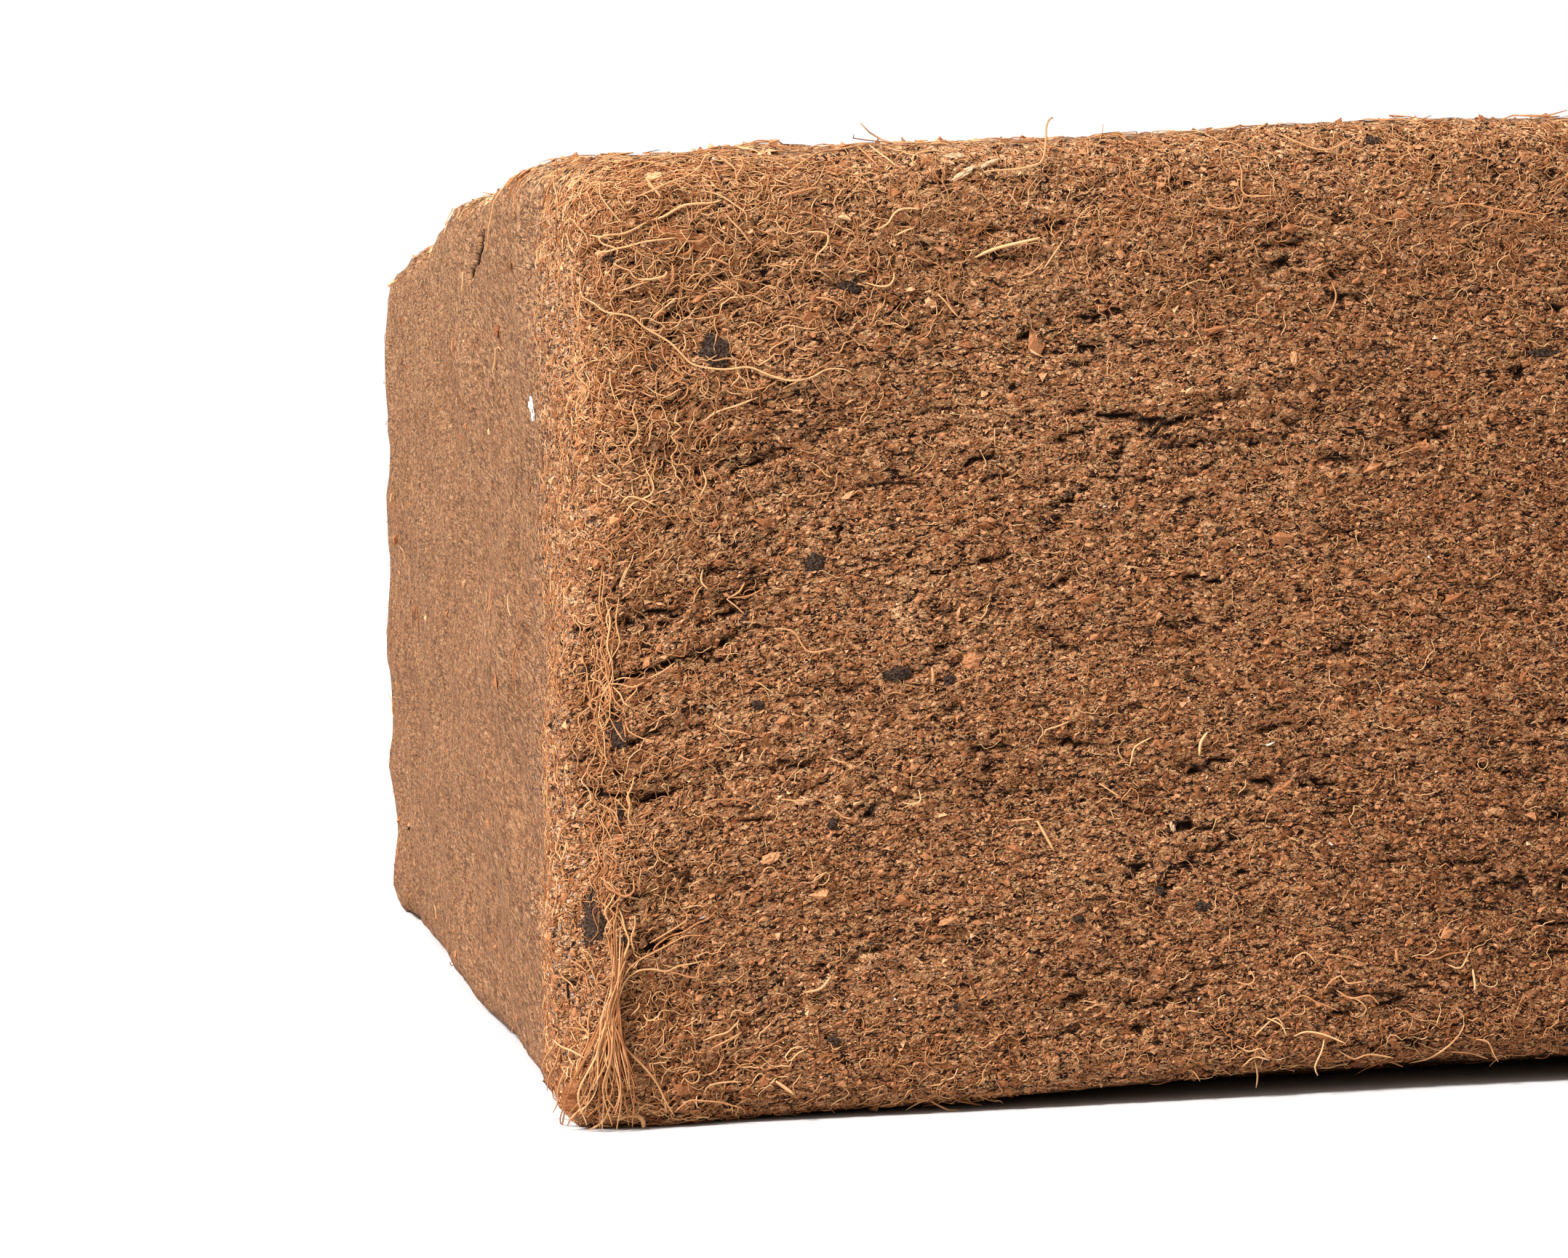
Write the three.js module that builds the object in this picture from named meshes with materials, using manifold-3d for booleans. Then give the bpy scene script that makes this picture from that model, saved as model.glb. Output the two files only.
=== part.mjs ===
// Coconut coir bale: one square block of coir pith and fibre, pressed hard and dried.
// Millimetres, +Z up. The origin is the middle of the flat base that it rests on.
// The front face looks to -Y and the plain end face to -X; the corner between them is the near corner.

import * as THREE from 'three';
import { mergeVertices } from 'three/addons/utils/BufferGeometryUtils.js';
import Module from 'manifold-3d';

const wasm = await Module();
wasm.setup();

// Driving dimensions of the pressed block
const LENGTH = 300;
const DEPTH = 300;
const HEIGHT = 120;
const STOCK = 3;               // made this much too low, then cut flat at the base
const EDGE_RADIUS = 5.5;
const BASE_RADIUS = 4.5;       // the edges that it stands on are sharper
const NEAR_CORNER_RADIUS = 14; // the near corner is blunt along Y and sharp along X
const NEAR_CORNER_NOSE = 4;

// The planes of the true box
const LEFT = -LENGTH / 2;
const RIGHT = LENGTH / 2;
const FRONT = -DEPTH / 2;
const BACK = DEPTH / 2;

// How far the block has moved from a true box since it left the press
const END_LEAN = { near: 2.8, far: 2.2, reach: 90 };       // each end leans inwards by this over the height
const BACK_SHAPE = { start: 40, bulge: 6, low: 28, high: 102, tuck: 11, tuckTop: 34, tuckPower: 1.2 };
const TOP_RISE = { height: 1.4, full: -10 };               // along the front edge, away from the near corner
const TOP_CROWN = 1.8;
const TOP_DROOP = { slope: 0.066, start: 5, least: 0.25, from: -20, full: LEFT + 10 };
const FRONT_LIFT = { height: 2.1, depth: 46, foot: LEFT + 8, from: LEFT + 26, full: LEFT + 80 };
const EDGE_CURL = { height: 1.1, reach: 26, size: 45 };    // the underside curls up along its other edges
const CORNER_FOOT = { whole: 40, gone: 75 };               // but it stands on its near corner
const CURL_TOP = 30;
const FOOT_FLARE = { out: 1.6, depth: 50, top: 32 };       // the near corner's foot is splayed out past the end

// Relief of the broken, layered surface
const LUMPS = { height: 1.0, size: 24 };
const KNOBS = { height: 0.6, size: 8, flatness: 1.6 };
const LAYERS = { step: 0.75, height: 7.5, waver: 2.5, waverSize: 40, patch: 55, shift: 0.37 };
const CORNER_DRAG = { depth: 6, length: 15 };              // the layers were dragged down at the near corner
const EDGE_BITE = { depth: 2.0, reach: 12, size: 13, base: 0.3, full: 30 };

// The near corner's own radii hold down to here, and fade out over the rest
const CORNER_REACH = { x: 10, xFade: 60, y: 40, yFade: 90 };

// Grid of the faceted skin, finer towards the edges
const CELLS = { x: 24, y: 24, z: 21 };
const EDGE_GRADING = { x: 0.5, y: 0.5, z: 0.3 };

const clamp01 = (t) => Math.min(1, Math.max(0, t));
const mix = THREE.MathUtils.lerp;

// A soft step from 0 at one place to 1 at another, in either direction
function ramp(t, from, to) {
  const s = clamp01((t - from) / (to - from));
  return s * s * (3 - 2 * s);
}

// Repeatable random numbers, for the places of cracks, chips and strands
function makeRandom(seed) {
  let state = seed >>> 0;
  return (low = 0, high = 1) => {
    state = (Math.imul(state, 1664525) + 1013904223) >>> 0;
    return low + ((high - low) * (state >>> 8)) / 2 ** 24;
  };
}

// A fixed value from -1 to 1 at each point of a whole-number lattice
function latticeValue(i, j, k) {
  let h = Math.imul(i, 374761393) ^ Math.imul(j, 668265263) ^ Math.imul(k, 1274126177);
  h = Math.imul(h ^ (h >>> 13), 1103515245);
  h ^= h >>> 16;
  return ((h >>> 0) / 2 ** 31) - 1;
}

// Smooth noise from -1 to 1, with lumps about one unit across
function noise(x, y, z) {
  const [i, j, k] = [Math.floor(x), Math.floor(y), Math.floor(z)];
  const [u, v, w] = [x - i, y - j, z - k].map((t) => t * t * (3 - 2 * t));
  const edge = (dj, dk) => mix(latticeValue(i, j + dj, k + dk), latticeValue(i + 1, j + dj, k + dk), u);
  return mix(mix(edge(0, 0), edge(1, 0), v), mix(edge(0, 1), edge(1, 1), v), w);
}

// The layers lie level, waver a little, and slope down to the near corner of the front face
function layerHeight(p) {
  const drag = CORNER_DRAG.depth * Math.exp((LEFT - p.x) / CORNER_DRAG.length) * ramp(p.y, 0, FRONT);
  return p.z + drag + LAYERS.waver * noise(p.x / LAYERS.waverSize, p.y / LAYERS.waverSize, 7.3);
}

// Edge radii, larger along Y at the near corner
function radiiAt(p) {
  const { x, xFade, y, yFade } = CORNER_REACH;
  const near = ramp(p.x, LEFT + xFade, LEFT + x) * ramp(p.y, FRONT + yFade, FRONT + y);
  return new THREE.Vector3(
    mix(EDGE_RADIUS, NEAR_CORNER_NOSE, near),
    mix(EDGE_RADIUS, NEAR_CORNER_RADIUS, near),
    p.z < HEIGHT / 2 ? BASE_RADIUS : EDGE_RADIUS,
  );
}

// A point of the plain box goes to the rounded box; the way out from the surface comes with it
function roundEdges(p) {
  const radii = radiiAt(p);
  const low = new THREE.Vector3(LEFT, FRONT, -STOCK).add(radii);
  const high = new THREE.Vector3(RIGHT, BACK, HEIGHT).sub(radii);
  const core = p.clone().clamp(low, high);
  const direction = p.clone().sub(core).divide(radii).normalize();
  return {
    point: core.add(direction.clone().multiply(radii)),
    out: direction.clone().divide(radii).normalize(),
  };
}

// The ends lean inwards, more towards the top
function leanShift(p, up) {
  const near = END_LEAN.near * ramp(p.x, LEFT + END_LEAN.reach, LEFT);
  const far = END_LEAN.far * ramp(p.x, RIGHT - END_LEAN.reach, RIGHT);
  return up * (near - far);
}

// The foot of the near corner is pushed out past the end face
function flareShift(p) {
  const { out, depth, top } = FOOT_FLARE;
  return -out * ramp(p.z, top, 0) * ramp(p.y, FRONT + depth, FRONT + 15) * ramp(p.x, LEFT + 30, LEFT);
}

// The back bulges at mid height and is tucked in below
function backShift(p) {
  const { start, bulge, low, high, tuck, tuckTop, tuckPower } = BACK_SHAPE;
  const out = bulge * Math.sin(Math.PI * clamp01((p.z - low) / (high - low)));
  const under = tuck * (1 - clamp01(p.z / tuckTop)) ** tuckPower;
  return ramp(p.y, start, BACK) * (out - under);
}

// The top is crowned, rises along the front and droops towards the back of the near end
function topShift(p) {
  const { slope, start, least, from, full } = TOP_DROOP;
  const atEnd = ramp(p.x, from, full);
  const droop = slope * Math.max(0, p.y - start) * mix(least, 1, atEnd);
  const rise = TOP_RISE.height * ramp(p.x, LEFT, TOP_RISE.full) * ramp(p.y, 0, FRONT);
  const crown = TOP_CROWN * (1 - (p.x / RIGHT) ** 2) * (1 - (p.y / BACK) ** 2);
  return rise + crown - droop;
}

// The underside clears the floor along the front, beside the foot, and curls up a little along the other edges
function baseShift(p) {
  const inwards = clamp01((p.y - FRONT) / FRONT_LIFT.depth);
  const clear = STOCK + FRONT_LIFT.height * ramp(p.x, FRONT_LIFT.from, FRONT_LIFT.full);
  const lift = clear * ramp(p.x, FRONT_LIFT.foot, FRONT_LIFT.from) * ramp(inwards, 1, 0);
  const fromEdge = Math.min(p.x - LEFT, RIGHT - p.x, BACK - p.y);
  const uneven = 1 + noise(p.x / EDGE_CURL.size, p.y / EDGE_CURL.size, 3.1);
  const curl = EDGE_CURL.height * (1 - clamp01(fromEdge / EDGE_CURL.reach)) * uneven;
  const fromCorner = Math.hypot(p.x - LEFT, p.y - FRONT);
  const low = 1 - clamp01((p.z + STOCK) / CURL_TOP);
  return low * Math.max(lift, curl * ramp(fromCorner, CORNER_FOOT.whole, CORNER_FOOT.gone));
}

// The slow shape of the whole block
function settle(p) {
  const up = clamp01(p.z / HEIGHT);
  const sideways = leanShift(p, up) + flareShift(p);
  return p.clone().add(new THREE.Vector3(sideways, backShift(p), up * topShift(p) + baseShift(p)));
}

// Lumps, knobs and layer steps, as a height out from the surface
function reliefHeight(p) {
  const lumps = noise(p.x / LUMPS.size, p.y / LUMPS.size, p.z / LUMPS.size);
  const knobs = noise(p.x / KNOBS.size, p.y / KNOBS.size, (KNOBS.flatness * p.z) / KNOBS.size);
  const layer = Math.floor(layerHeight(p) / LAYERS.height);
  const patch = Math.floor((p.x + 1.3 * p.y) / LAYERS.patch + LAYERS.shift * layer);
  return LUMPS.height * lumps + KNOBS.height * knobs + LAYERS.step * latticeValue(layer, patch, 5);
}

// How far a corner or an edge has crumbled away
function edgeBite(p) {
  const gaps = [
    Math.min(p.x - LEFT, RIGHT - p.x),
    Math.min(p.y - FRONT, BACK - p.y),
    Math.min(p.z + STOCK, HEIGHT - p.z),
  ].sort((a, b) => a - b);
  const nearEdge = 1 - clamp01(gaps[1] / EDGE_BITE.reach);
  const bitten = noise(p.x / EDGE_BITE.size, p.y / EDGE_BITE.size, p.z / EDGE_BITE.size);
  const share = mix(EDGE_BITE.base, 1, ramp(p.z, 0, EDGE_BITE.full));
  return EDGE_BITE.depth * share * nearEdge * clamp01(0.9 * bitten + 0.25);
}

// The frayed strip down the near corner stands proud of the front face beside it
const LIP = { low: 20, high: 62, edge: LEFT + 6.5, waver: 1.5, waverSize: 9 };
const LIP_RELIEF = { proud: 1.1, recess: 0.9, fade: 12 };
function cornerLip(p) {
  const height = ramp(p.z, LIP.low - 5, LIP.low + 4) * ramp(p.z, LIP.high + 6, LIP.high - 4);
  const edge = LIP.edge + LIP.waver * noise(p.z / LIP.waverSize, 2.5, 8.1);
  const past = p.x - edge;
  const { proud, recess, fade } = LIP_RELIEF;
  const shape = past < 0 ? proud : -recess * (1 - clamp01(past / fade));
  return height * shape * ramp(p.y, FRONT + 20, FRONT);
}

// One point of the plain box, carried all the way to the finished skin
function skinPoint(boxPoint) {
  const { point, out } = roundEdges(boxPoint);
  const height = reliefHeight(boxPoint) - edgeBite(boxPoint) + cornerLip(boxPoint);
  return settle(point).addScaledVector(out, height);
}

// Faceted geometry to a solid that can be joined and cut, and back
function toSolid(geometry) {
  const bare = geometry.clone();
  for (const name of ['normal', 'uv']) bare.deleteAttribute(name);
  const merged = mergeVertices(bare, 1e-4);
  return new wasm.Manifold(new wasm.Mesh({
    numProp: 3,
    vertProperties: new Float32Array(merged.attributes.position.array),
    triVerts: new Uint32Array(merged.index.array),
  }));
}

function toGeometry(solid) {
  const mesh = solid.getMesh();
  const geometry = new THREE.BufferGeometry();
  geometry.setAttribute('position', new THREE.BufferAttribute(mesh.vertProperties, mesh.numProp));
  geometry.setIndex(new THREE.BufferAttribute(mesh.triVerts, 1));
  geometry.computeVertexNormals();
  return geometry;
}

// A closed body through a row of rings with the same number of points
function loft(rings) {
  const sides = rings[0].length;
  const last = (rings.length - 1) * sides;
  const faces = [];
  for (let r = 0; r + 1 < rings.length; r += 1) {
    for (let s = 0; s < sides; s += 1) {
      const a = r * sides + s;
      const b = r * sides + ((s + 1) % sides);
      faces.push(a, b, b + sides, a, b + sides, a + sides);
    }
  }
  for (let s = 1; s + 1 < sides; s += 1) {
    faces.push(0, s + 1, s, last, last + s, last + s + 1);
  }
  const points = rings.flat();
  let volume = 0;
  for (let f = 0; f < faces.length; f += 3) {
    const [a, b, c] = faces.slice(f, f + 3).map((index) => points[index]);
    volume += a.dot(b.clone().cross(c));
  }
  if (volume < 0) faces.reverse();
  const geometry = new THREE.BufferGeometry().setFromPoints(points);
  geometry.setIndex(faces);
  return geometry;
}

// The pressed block: a graded box grid carried to the skin, then cut flat at the base
function makeBlock() {
  const graded = (t, grading) => t - (grading * Math.sin(2 * Math.PI * (t + 0.5))) / (2 * Math.PI);
  const grid = new THREE.BoxGeometry(1, 1, 1, CELLS.x, CELLS.y, CELLS.z);
  const position = grid.attributes.position;
  for (let i = 0; i < position.count; i += 1) {
    const point = skinPoint(new THREE.Vector3(
      LENGTH * graded(position.getX(i), EDGE_GRADING.x),
      DEPTH * graded(position.getY(i), EDGE_GRADING.y),
      -STOCK + (HEIGHT + STOCK) * (graded(position.getZ(i), EDGE_GRADING.z) + 0.5),
    ));
    position.setXYZ(i, point.x, point.y, point.z);
  }
  const belowBase = new THREE.BoxGeometry(2 * LENGTH, 2 * DEPTH, 2 * LENGTH);
  belowBase.translate(0, 0, -LENGTH);
  return toSolid(grid).subtract(toSolid(belowBase));
}

// The faces that cracks and chips lie on: along runs level, and the height is Z
const FACES = {
  front: { at: (along, z) => new THREE.Vector3(along, FRONT, z), out: [0, -1, 0], up: [0, 0, 1] },
  end: { at: (along, z) => new THREE.Vector3(LEFT, along, z), out: [-1, 0, 0], up: [0, 0, 1] },
  back: { at: (along, z) => new THREE.Vector3(along, BACK, z), out: [0, 1, 0], up: [0, 0, 1] },
  far: { at: (along, z) => new THREE.Vector3(RIGHT, along, z), out: [1, 0, 0], up: [0, 0, 1] },
  top: { at: (along, y) => new THREE.Vector3(along, y, HEIGHT), out: [0, 0, 1], up: [0, 1, 0] },
};

// A crack is cut by a thin wedge that follows a path on a face and narrows to both ends
const WEDGE_CLEARANCE = 2.5;
function crackCutter({ face, path, opening, depth }) {
  const { at, out, up } = FACES[face];
  const outward = new THREE.Vector3(...out);
  const across = new THREE.Vector3(...up);
  const rings = path.map(([along, z], i) => {
    const share = Math.sin((Math.PI * (i + 0.35)) / (path.length - 0.3));
    const reach = depth * (0.35 + 0.65 * share);
    const half = (opening / 2) * (0.15 + 0.85 * share) * ((reach + WEDGE_CLEARANCE) / reach);
    const foot = skinPoint(at(along, z));
    const mouth = foot.clone().addScaledVector(outward, WEDGE_CLEARANCE);
    return [
      mouth.clone().addScaledVector(across, half),
      mouth.clone().addScaledVector(across, -half),
      foot.clone().addScaledVector(outward, -reach),
    ];
  });
  return toSolid(loft(rings));
}

// The cracks that stand out on the front and end faces
const MAIN_CRACKS = [
  { face: 'front', opening: 0.9, depth: 3, path: [[-147.6, 42.6], [-144.5, 41.5], [-141, 40.8], [-137, 42]] },
  { face: 'front', opening: 0.8, depth: 2.6, path: [[-144.8, 55.1], [-140, 56.2], [-136, 57.8], [-132, 58.7]] },
  { face: 'front', opening: 0.8, depth: 2.4, path: [[-142.9, 32.6], [-142.2, 30.4], [-141.2, 28.2]] },
  { face: 'end', opening: 1.8, depth: 3.5, path: [[-52.5, 114], [-42, 112.2], [-31, 110], [-19.3, 107]] },
];

// The other cracks follow the layers, a few on each side, and wander over the top
const CRACK_COUNT = { front: 9, end: 6, back: 6, far: 5, top: 4 };
const CRACK_RANGES = { half: [5, 15], opening: [0.7, 1.3], depth: [1.8, 3] };
const CRACK_SLOPES = { side: [-0.08, 0.16], top: [-0.8, 0.8] };
const CLEAR_OF_EDGE = { crack: 30, husk: 22, low: 14, high: 16 };

// A height up a side, or for the top a place from front to back
function drawHeight(random, face, clear) {
  if (face === 'top') return random(FRONT + clear, BACK - clear);
  return random(CLEAR_OF_EDGE.low, HEIGHT - CLEAR_OF_EDGE.high);
}

function scatterCracks(random) {
  const cracks = [];
  for (const [face, count] of Object.entries(CRACK_COUNT)) {
    for (let i = 0; i < count; i += 1) {
      const half = random(...CRACK_RANGES.half);
      const slot = ((i + random(0.2, 0.8)) / count - 0.5) * (LENGTH - 70);
      const height = drawHeight(random, face, CLEAR_OF_EDGE.crack);
      const slope = random(...(face === 'top' ? CRACK_SLOPES.top : CRACK_SLOPES.side));
      const path = [-1, -0.4, 0.25, 1].map((t) => [
        slot + t * half,
        height + slope * t * half + random(-0.5, 0.5),
      ]);
      const opening = random(...CRACK_RANGES.opening);
      cracks.push({ face, path, opening, depth: random(...CRACK_RANGES.depth) });
    }
  }
  return cracks;
}

// Small lumps of husk: a chip stands out of the face and a pit is a chip that fell out
const MAIN_PITS = [{ face: 'front', at: [-112.7, 102.6], size: [2, 1], thick: 2 }];
const MAIN_CHIPS = [
  { face: 'front', at: [-129.7, 95], size: [2.4, 1.9], thick: 1.1 },
  { face: 'front', at: [-118.5, 68.9], size: [1.6, 1.3], thick: 1 },
  { face: 'front', at: [-146.6, 26], size: [1.7, 4], thick: 1.2 },
];
const HUSK_SINK = 0.4;
const CHIP_COUNT = { front: 5, end: 3, back: 4, far: 3, top: 5 };
const PIT_COUNT = { front: 2, end: 2, back: 3, far: 2, top: 3 };
const LONGEST_CHIP = 3.4;
const LONGEST_PIT = 2.6;
const HUSK_THICKNESS = 1.3;

function scatterHusk(random, counts, longest) {
  const husk = [];
  for (const [face, count] of Object.entries(counts)) {
    for (let i = 0; i < count; i += 1) {
      const along = random(LEFT + CLEAR_OF_EDGE.husk, RIGHT - CLEAR_OF_EDGE.husk);
      const height = drawHeight(random, face, CLEAR_OF_EDGE.husk);
      const length = random(0.6 * longest, longest);
      const width = random(0.4, 0.7) * length;
      husk.push({ face, at: [along, height], size: [length, width], thick: HUSK_THICKNESS });
    }
  }
  return husk;
}

function huskSolid({ face, at, size, thick }) {
  const side = FACES[face];
  const along = new THREE.Vector3(...side.up).cross(new THREE.Vector3(...side.out));
  const basis = new THREE.Matrix4().makeBasis(
    along.multiplyScalar(size[0]),
    new THREE.Vector3(...side.up).multiplyScalar(size[1]),
    new THREE.Vector3(...side.out).multiplyScalar(thick),
  );
  const geometry = new THREE.IcosahedronGeometry(1, 0);
  geometry.applyMatrix4(basis);
  const centre = skinPoint(side.at(...at)).addScaledVector(new THREE.Vector3(...side.out), -HUSK_SINK);
  geometry.translate(...centre.toArray());
  return toSolid(geometry);
}

// A strand is a matted bundle of fibres: a thin tapered rod that lies half in the surface
const STRAND_SIDES = 4;
const STRAND_STEPS = 5;
function strandSolid(points, radius) {
  const curve = new THREE.CatmullRomCurve3(points);
  const rings = [];
  for (let i = 0; i <= STRAND_STEPS; i += 1) {
    const t = i / STRAND_STEPS;
    const centre = curve.getPointAt(t);
    const tangent = curve.getTangentAt(t);
    const side = new THREE.Vector3(0.3, -0.9, 0.25).cross(tangent).normalize();
    const out = tangent.clone().cross(side).normalize();
    const thickness = radius * (0.3 + 0.7 * Math.sin(Math.PI * clamp01(0.1 + 0.8 * t)));
    const ring = [];
    for (let s = 0; s < STRAND_SIDES; s += 1) {
      const angle = (2 * Math.PI * s) / STRAND_SIDES;
      ring.push(centre.clone()
        .addScaledVector(side, thickness * Math.cos(angle))
        .addScaledVector(out, thickness * Math.sin(angle)));
    }
    rings.push(ring);
  }
  return toSolid(loft(rings));
}

// The broom of strands at the foot of the near corner: gathered at its neck, splayed at the floor
const BROOM = { neck: [-144.2, 17], top: [-143.2, 33], foot: [-151, -139], count: 7, radius: 0.9 };
function broomStrands(random) {
  const strands = [];
  for (let i = 0; i < BROOM.count; i += 1) {
    const share = i / (BROOM.count - 1) - 0.5;
    const footX = mix(BROOM.foot[0], BROOM.foot[1], share + 0.5);
    const places = [
      [BROOM.top[0] + 3 * share, BROOM.top[1] + random(-6, 3)],
      [BROOM.neck[0] + 1.5 * share, BROOM.neck[1]],
      [mix(BROOM.neck[0], footX, 0.6), 8],
      [footX, random(1.6, 2.6)],
    ];
    const points = places.map(([x, z]) => skinPoint(FACES.front.at(Math.max(x, LEFT + 1.5), z)));
    strands.push(strandSolid(points, BROOM.radius));
  }
  return strands;
}

// Matted strands along the top front edge and down the near corner
const EDGE_STRANDS = { count: 6, radius: 0.8 };
function edgeStrands(random) {
  const strands = [];
  for (let i = 0; i < EDGE_STRANDS.count; i += 1) {
    const start = mix(LEFT + 8, RIGHT - 40, (i + random(0, 0.6)) / EDGE_STRANDS.count);
    const z = random(HEIGHT - 9, HEIGHT - 4);
    const points = [0, 9, 19, 30].map((step) => skinPoint(FACES.front.at(start + step, z + random(-2, 2))));
    strands.push(strandSolid(points, EDGE_STRANDS.radius));
  }
  for (const [x, low] of [[-147.5, 66], [-145.8, 84], [-147.2, 98]]) {
    const points = [0, 6, 12, 17].map((step) => skinPoint(FACES.front.at(x + random(-0.7, 0.7), low + step)));
    strands.push(strandSolid(points, EDGE_STRANDS.radius));
  }
  return strands;
}

// The whole bale: block, less its cracks and pits, with its chips and strands grown on
function makeBale() {
  const random = makeRandom(20);
  const cracks = [...MAIN_CRACKS, ...scatterCracks(random)].map(crackCutter);
  const pits = [...MAIN_PITS, ...scatterHusk(random, PIT_COUNT, LONGEST_PIT)].map(huskSolid);
  const chips = [...MAIN_CHIPS, ...scatterHusk(random, CHIP_COUNT, LONGEST_CHIP)].map(huskSolid);
  const strands = [...broomStrands(random), ...edgeStrands(random)];

  let bale = makeBlock();
  for (const grown of [...chips, ...strands]) bale = bale.add(grown);
  for (const lost of [...cracks, ...pits]) bale = bale.subtract(lost);
  const oneBody = bale.decompose().reduce((best, piece) => (piece.volume() > best.volume() ? piece : best));

  const geometry = toGeometry(oneBody);
  geometry.computeBoundingBox();
  const middle = geometry.boundingBox.getCenter(new THREE.Vector3());
  geometry.translate(-middle.x, -middle.y, 0);
  return geometry;
}

const coir = new THREE.MeshStandardMaterial({ color: 0x96674a, roughness: 0.95, metalness: 0 });
const bale = new THREE.Mesh(makeBale(), coir);
bale.name = 'coir_bale';

const part = new THREE.Group();
part.add(bale);

export default part;
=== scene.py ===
# %% [markdown]
# # Coconut coir bale
# The husk of a coconut is torn apart into brown pith, which crumbles into flat flakes, and pale curly
# fibres. Both are pressed in a square steel mould and dried, so a bale is one hard block with a crumbly,
# layered skin. This lesson dresses the plain solid of such a block: first the camera and the light, then
# the crust with its layers and cracks, then loose flakes, and at last some ten thousand fibres that lie
# over it all.

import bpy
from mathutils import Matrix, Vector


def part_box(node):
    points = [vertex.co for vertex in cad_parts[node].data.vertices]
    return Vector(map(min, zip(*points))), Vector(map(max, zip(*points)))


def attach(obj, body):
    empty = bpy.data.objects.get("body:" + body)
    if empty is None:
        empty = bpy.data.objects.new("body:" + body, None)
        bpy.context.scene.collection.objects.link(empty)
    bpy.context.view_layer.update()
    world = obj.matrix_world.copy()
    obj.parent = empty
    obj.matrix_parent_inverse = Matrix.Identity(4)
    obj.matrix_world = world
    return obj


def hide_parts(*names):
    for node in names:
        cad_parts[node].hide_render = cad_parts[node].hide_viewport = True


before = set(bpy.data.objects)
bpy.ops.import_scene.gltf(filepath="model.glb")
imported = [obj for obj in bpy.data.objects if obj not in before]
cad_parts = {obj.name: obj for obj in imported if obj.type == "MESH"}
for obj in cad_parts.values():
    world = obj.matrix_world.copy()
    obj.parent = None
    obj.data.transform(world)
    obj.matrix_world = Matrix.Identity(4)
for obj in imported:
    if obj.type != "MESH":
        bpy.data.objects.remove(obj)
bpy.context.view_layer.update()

# %% Tools and units
import math

import bpy
import numpy as np
from mathutils import Matrix, Vector
from mathutils.bvhtree import BVHTree

MM = 0.001
NODE = "coir_bale"


def unit(rows):
    """Each row of an array as a direction of length 1."""
    return rows / np.maximum(np.linalg.norm(rows, axis=-1, keepdims=True), 1e-9)


# %% [markdown]
# ## Places on the block
# All places are in millimetres from the middle of the base. The faces of the block are not true planes, so
# each one is named by the plane that it stays closest to. Its lumps stand about 3 mm proud of the front
# plane, the splayed foot of its near corner stands 1.7 mm proud of the end plane, and the solid's box gives
# both.

# %% Planes of the block
low_corner, high_corner = [Vector(corner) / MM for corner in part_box(NODE)]
FRONT_LUMPS = 2.93
END_LUMPS = 1.71
FRONT = low_corner.y + FRONT_LUMPS
LEFT = low_corner.x + END_LUMPS
RIGHT = high_corner.x - END_LUMPS
BACK = high_corner.y - FRONT_LUMPS
TOP = 120.0
print(f"front plane y {FRONT:.1f}, end plane x {LEFT:.1f}, top z {TOP:.1f}")

# %% [markdown]
# ## Camera
# A close-up lens looks at the near corner from a little over half a metre, almost level, and turned
# slightly towards the end face. The picture's horizon leans a little, so the camera is rolled by the same
# amount.

# %% Camera
CAMERA_FROM_CORNER = Vector((-70.1, -653.6, 95.9))
CAMERA_TURN = 8.51
CAMERA_TILT = -3.02
CAMERA_ROLL = -1.60
SENSOR_WIDTH = 36.0
FOCAL_LENGTH = 124.0
PICTURE_WIDTH, PICTURE_HEIGHT = 2156, 1730


def turned_camera(turn, tilt, roll):
    """The rotation of a camera that looks along +Y, turned right, tilted up and rolled, in degrees."""
    heading = Matrix.Rotation(math.radians(-turn), 4, "Z")
    level = Matrix.Rotation(math.radians(90 + tilt), 4, "X")
    return heading @ level @ Matrix.Rotation(math.radians(roll), 4, "Z")


camera_data = bpy.data.cameras.new("bale_camera")
camera_data.sensor_fit = "HORIZONTAL"
camera_data.sensor_width = SENSOR_WIDTH
camera_data.lens = FOCAL_LENGTH
camera_data.clip_start = 0.01
camera_data.dof.use_dof = False
camera = bpy.data.objects.new("bale_camera", camera_data)
bpy.context.collection.objects.link(camera)
camera_place = (Vector((LEFT, FRONT, 0)) + CAMERA_FROM_CORNER) * MM
camera.matrix_world = Matrix.Translation(camera_place) @ turned_camera(CAMERA_TURN, CAMERA_TILT, CAMERA_ROLL)
bpy.context.scene.camera = camera
print("camera at", [round(value, 4) for value in camera_place])


def camera_rays(pixels):
    """Where the camera's rays start, in millimetres, and their ways through pixels of the photograph."""
    columns, rows = np.array(pixels, dtype=float).T
    across = (columns / PICTURE_WIDTH - 0.5) * SENSOR_WIDTH
    up = (PICTURE_HEIGHT / 2 - rows) / PICTURE_WIDTH * SENSOR_WIDTH
    aim = np.column_stack([across, up, np.full_like(across, -FOCAL_LENGTH)])
    aim = aim @ np.array(camera.matrix_world.to_3x3()).T
    return np.array(camera_place) / MM, unit(aim)


def on_front_plane(pixels):
    """Where those rays meet the front plane."""
    start, aim = camera_rays(pixels)
    return start + aim * ((FRONT - start[1]) / aim[:, 1])[:, None]

# %% [markdown]
# ## Node maths in Python
# A material is a graph of nodes. Written by hand it is long, so a small class wraps a socket and turns each
# Python operator into its Math node. The same class serves Geometry Nodes, because both kinds of tree share
# their texture and maths nodes. That lets the crust's relief and its colours come from the same patterns.


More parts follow.
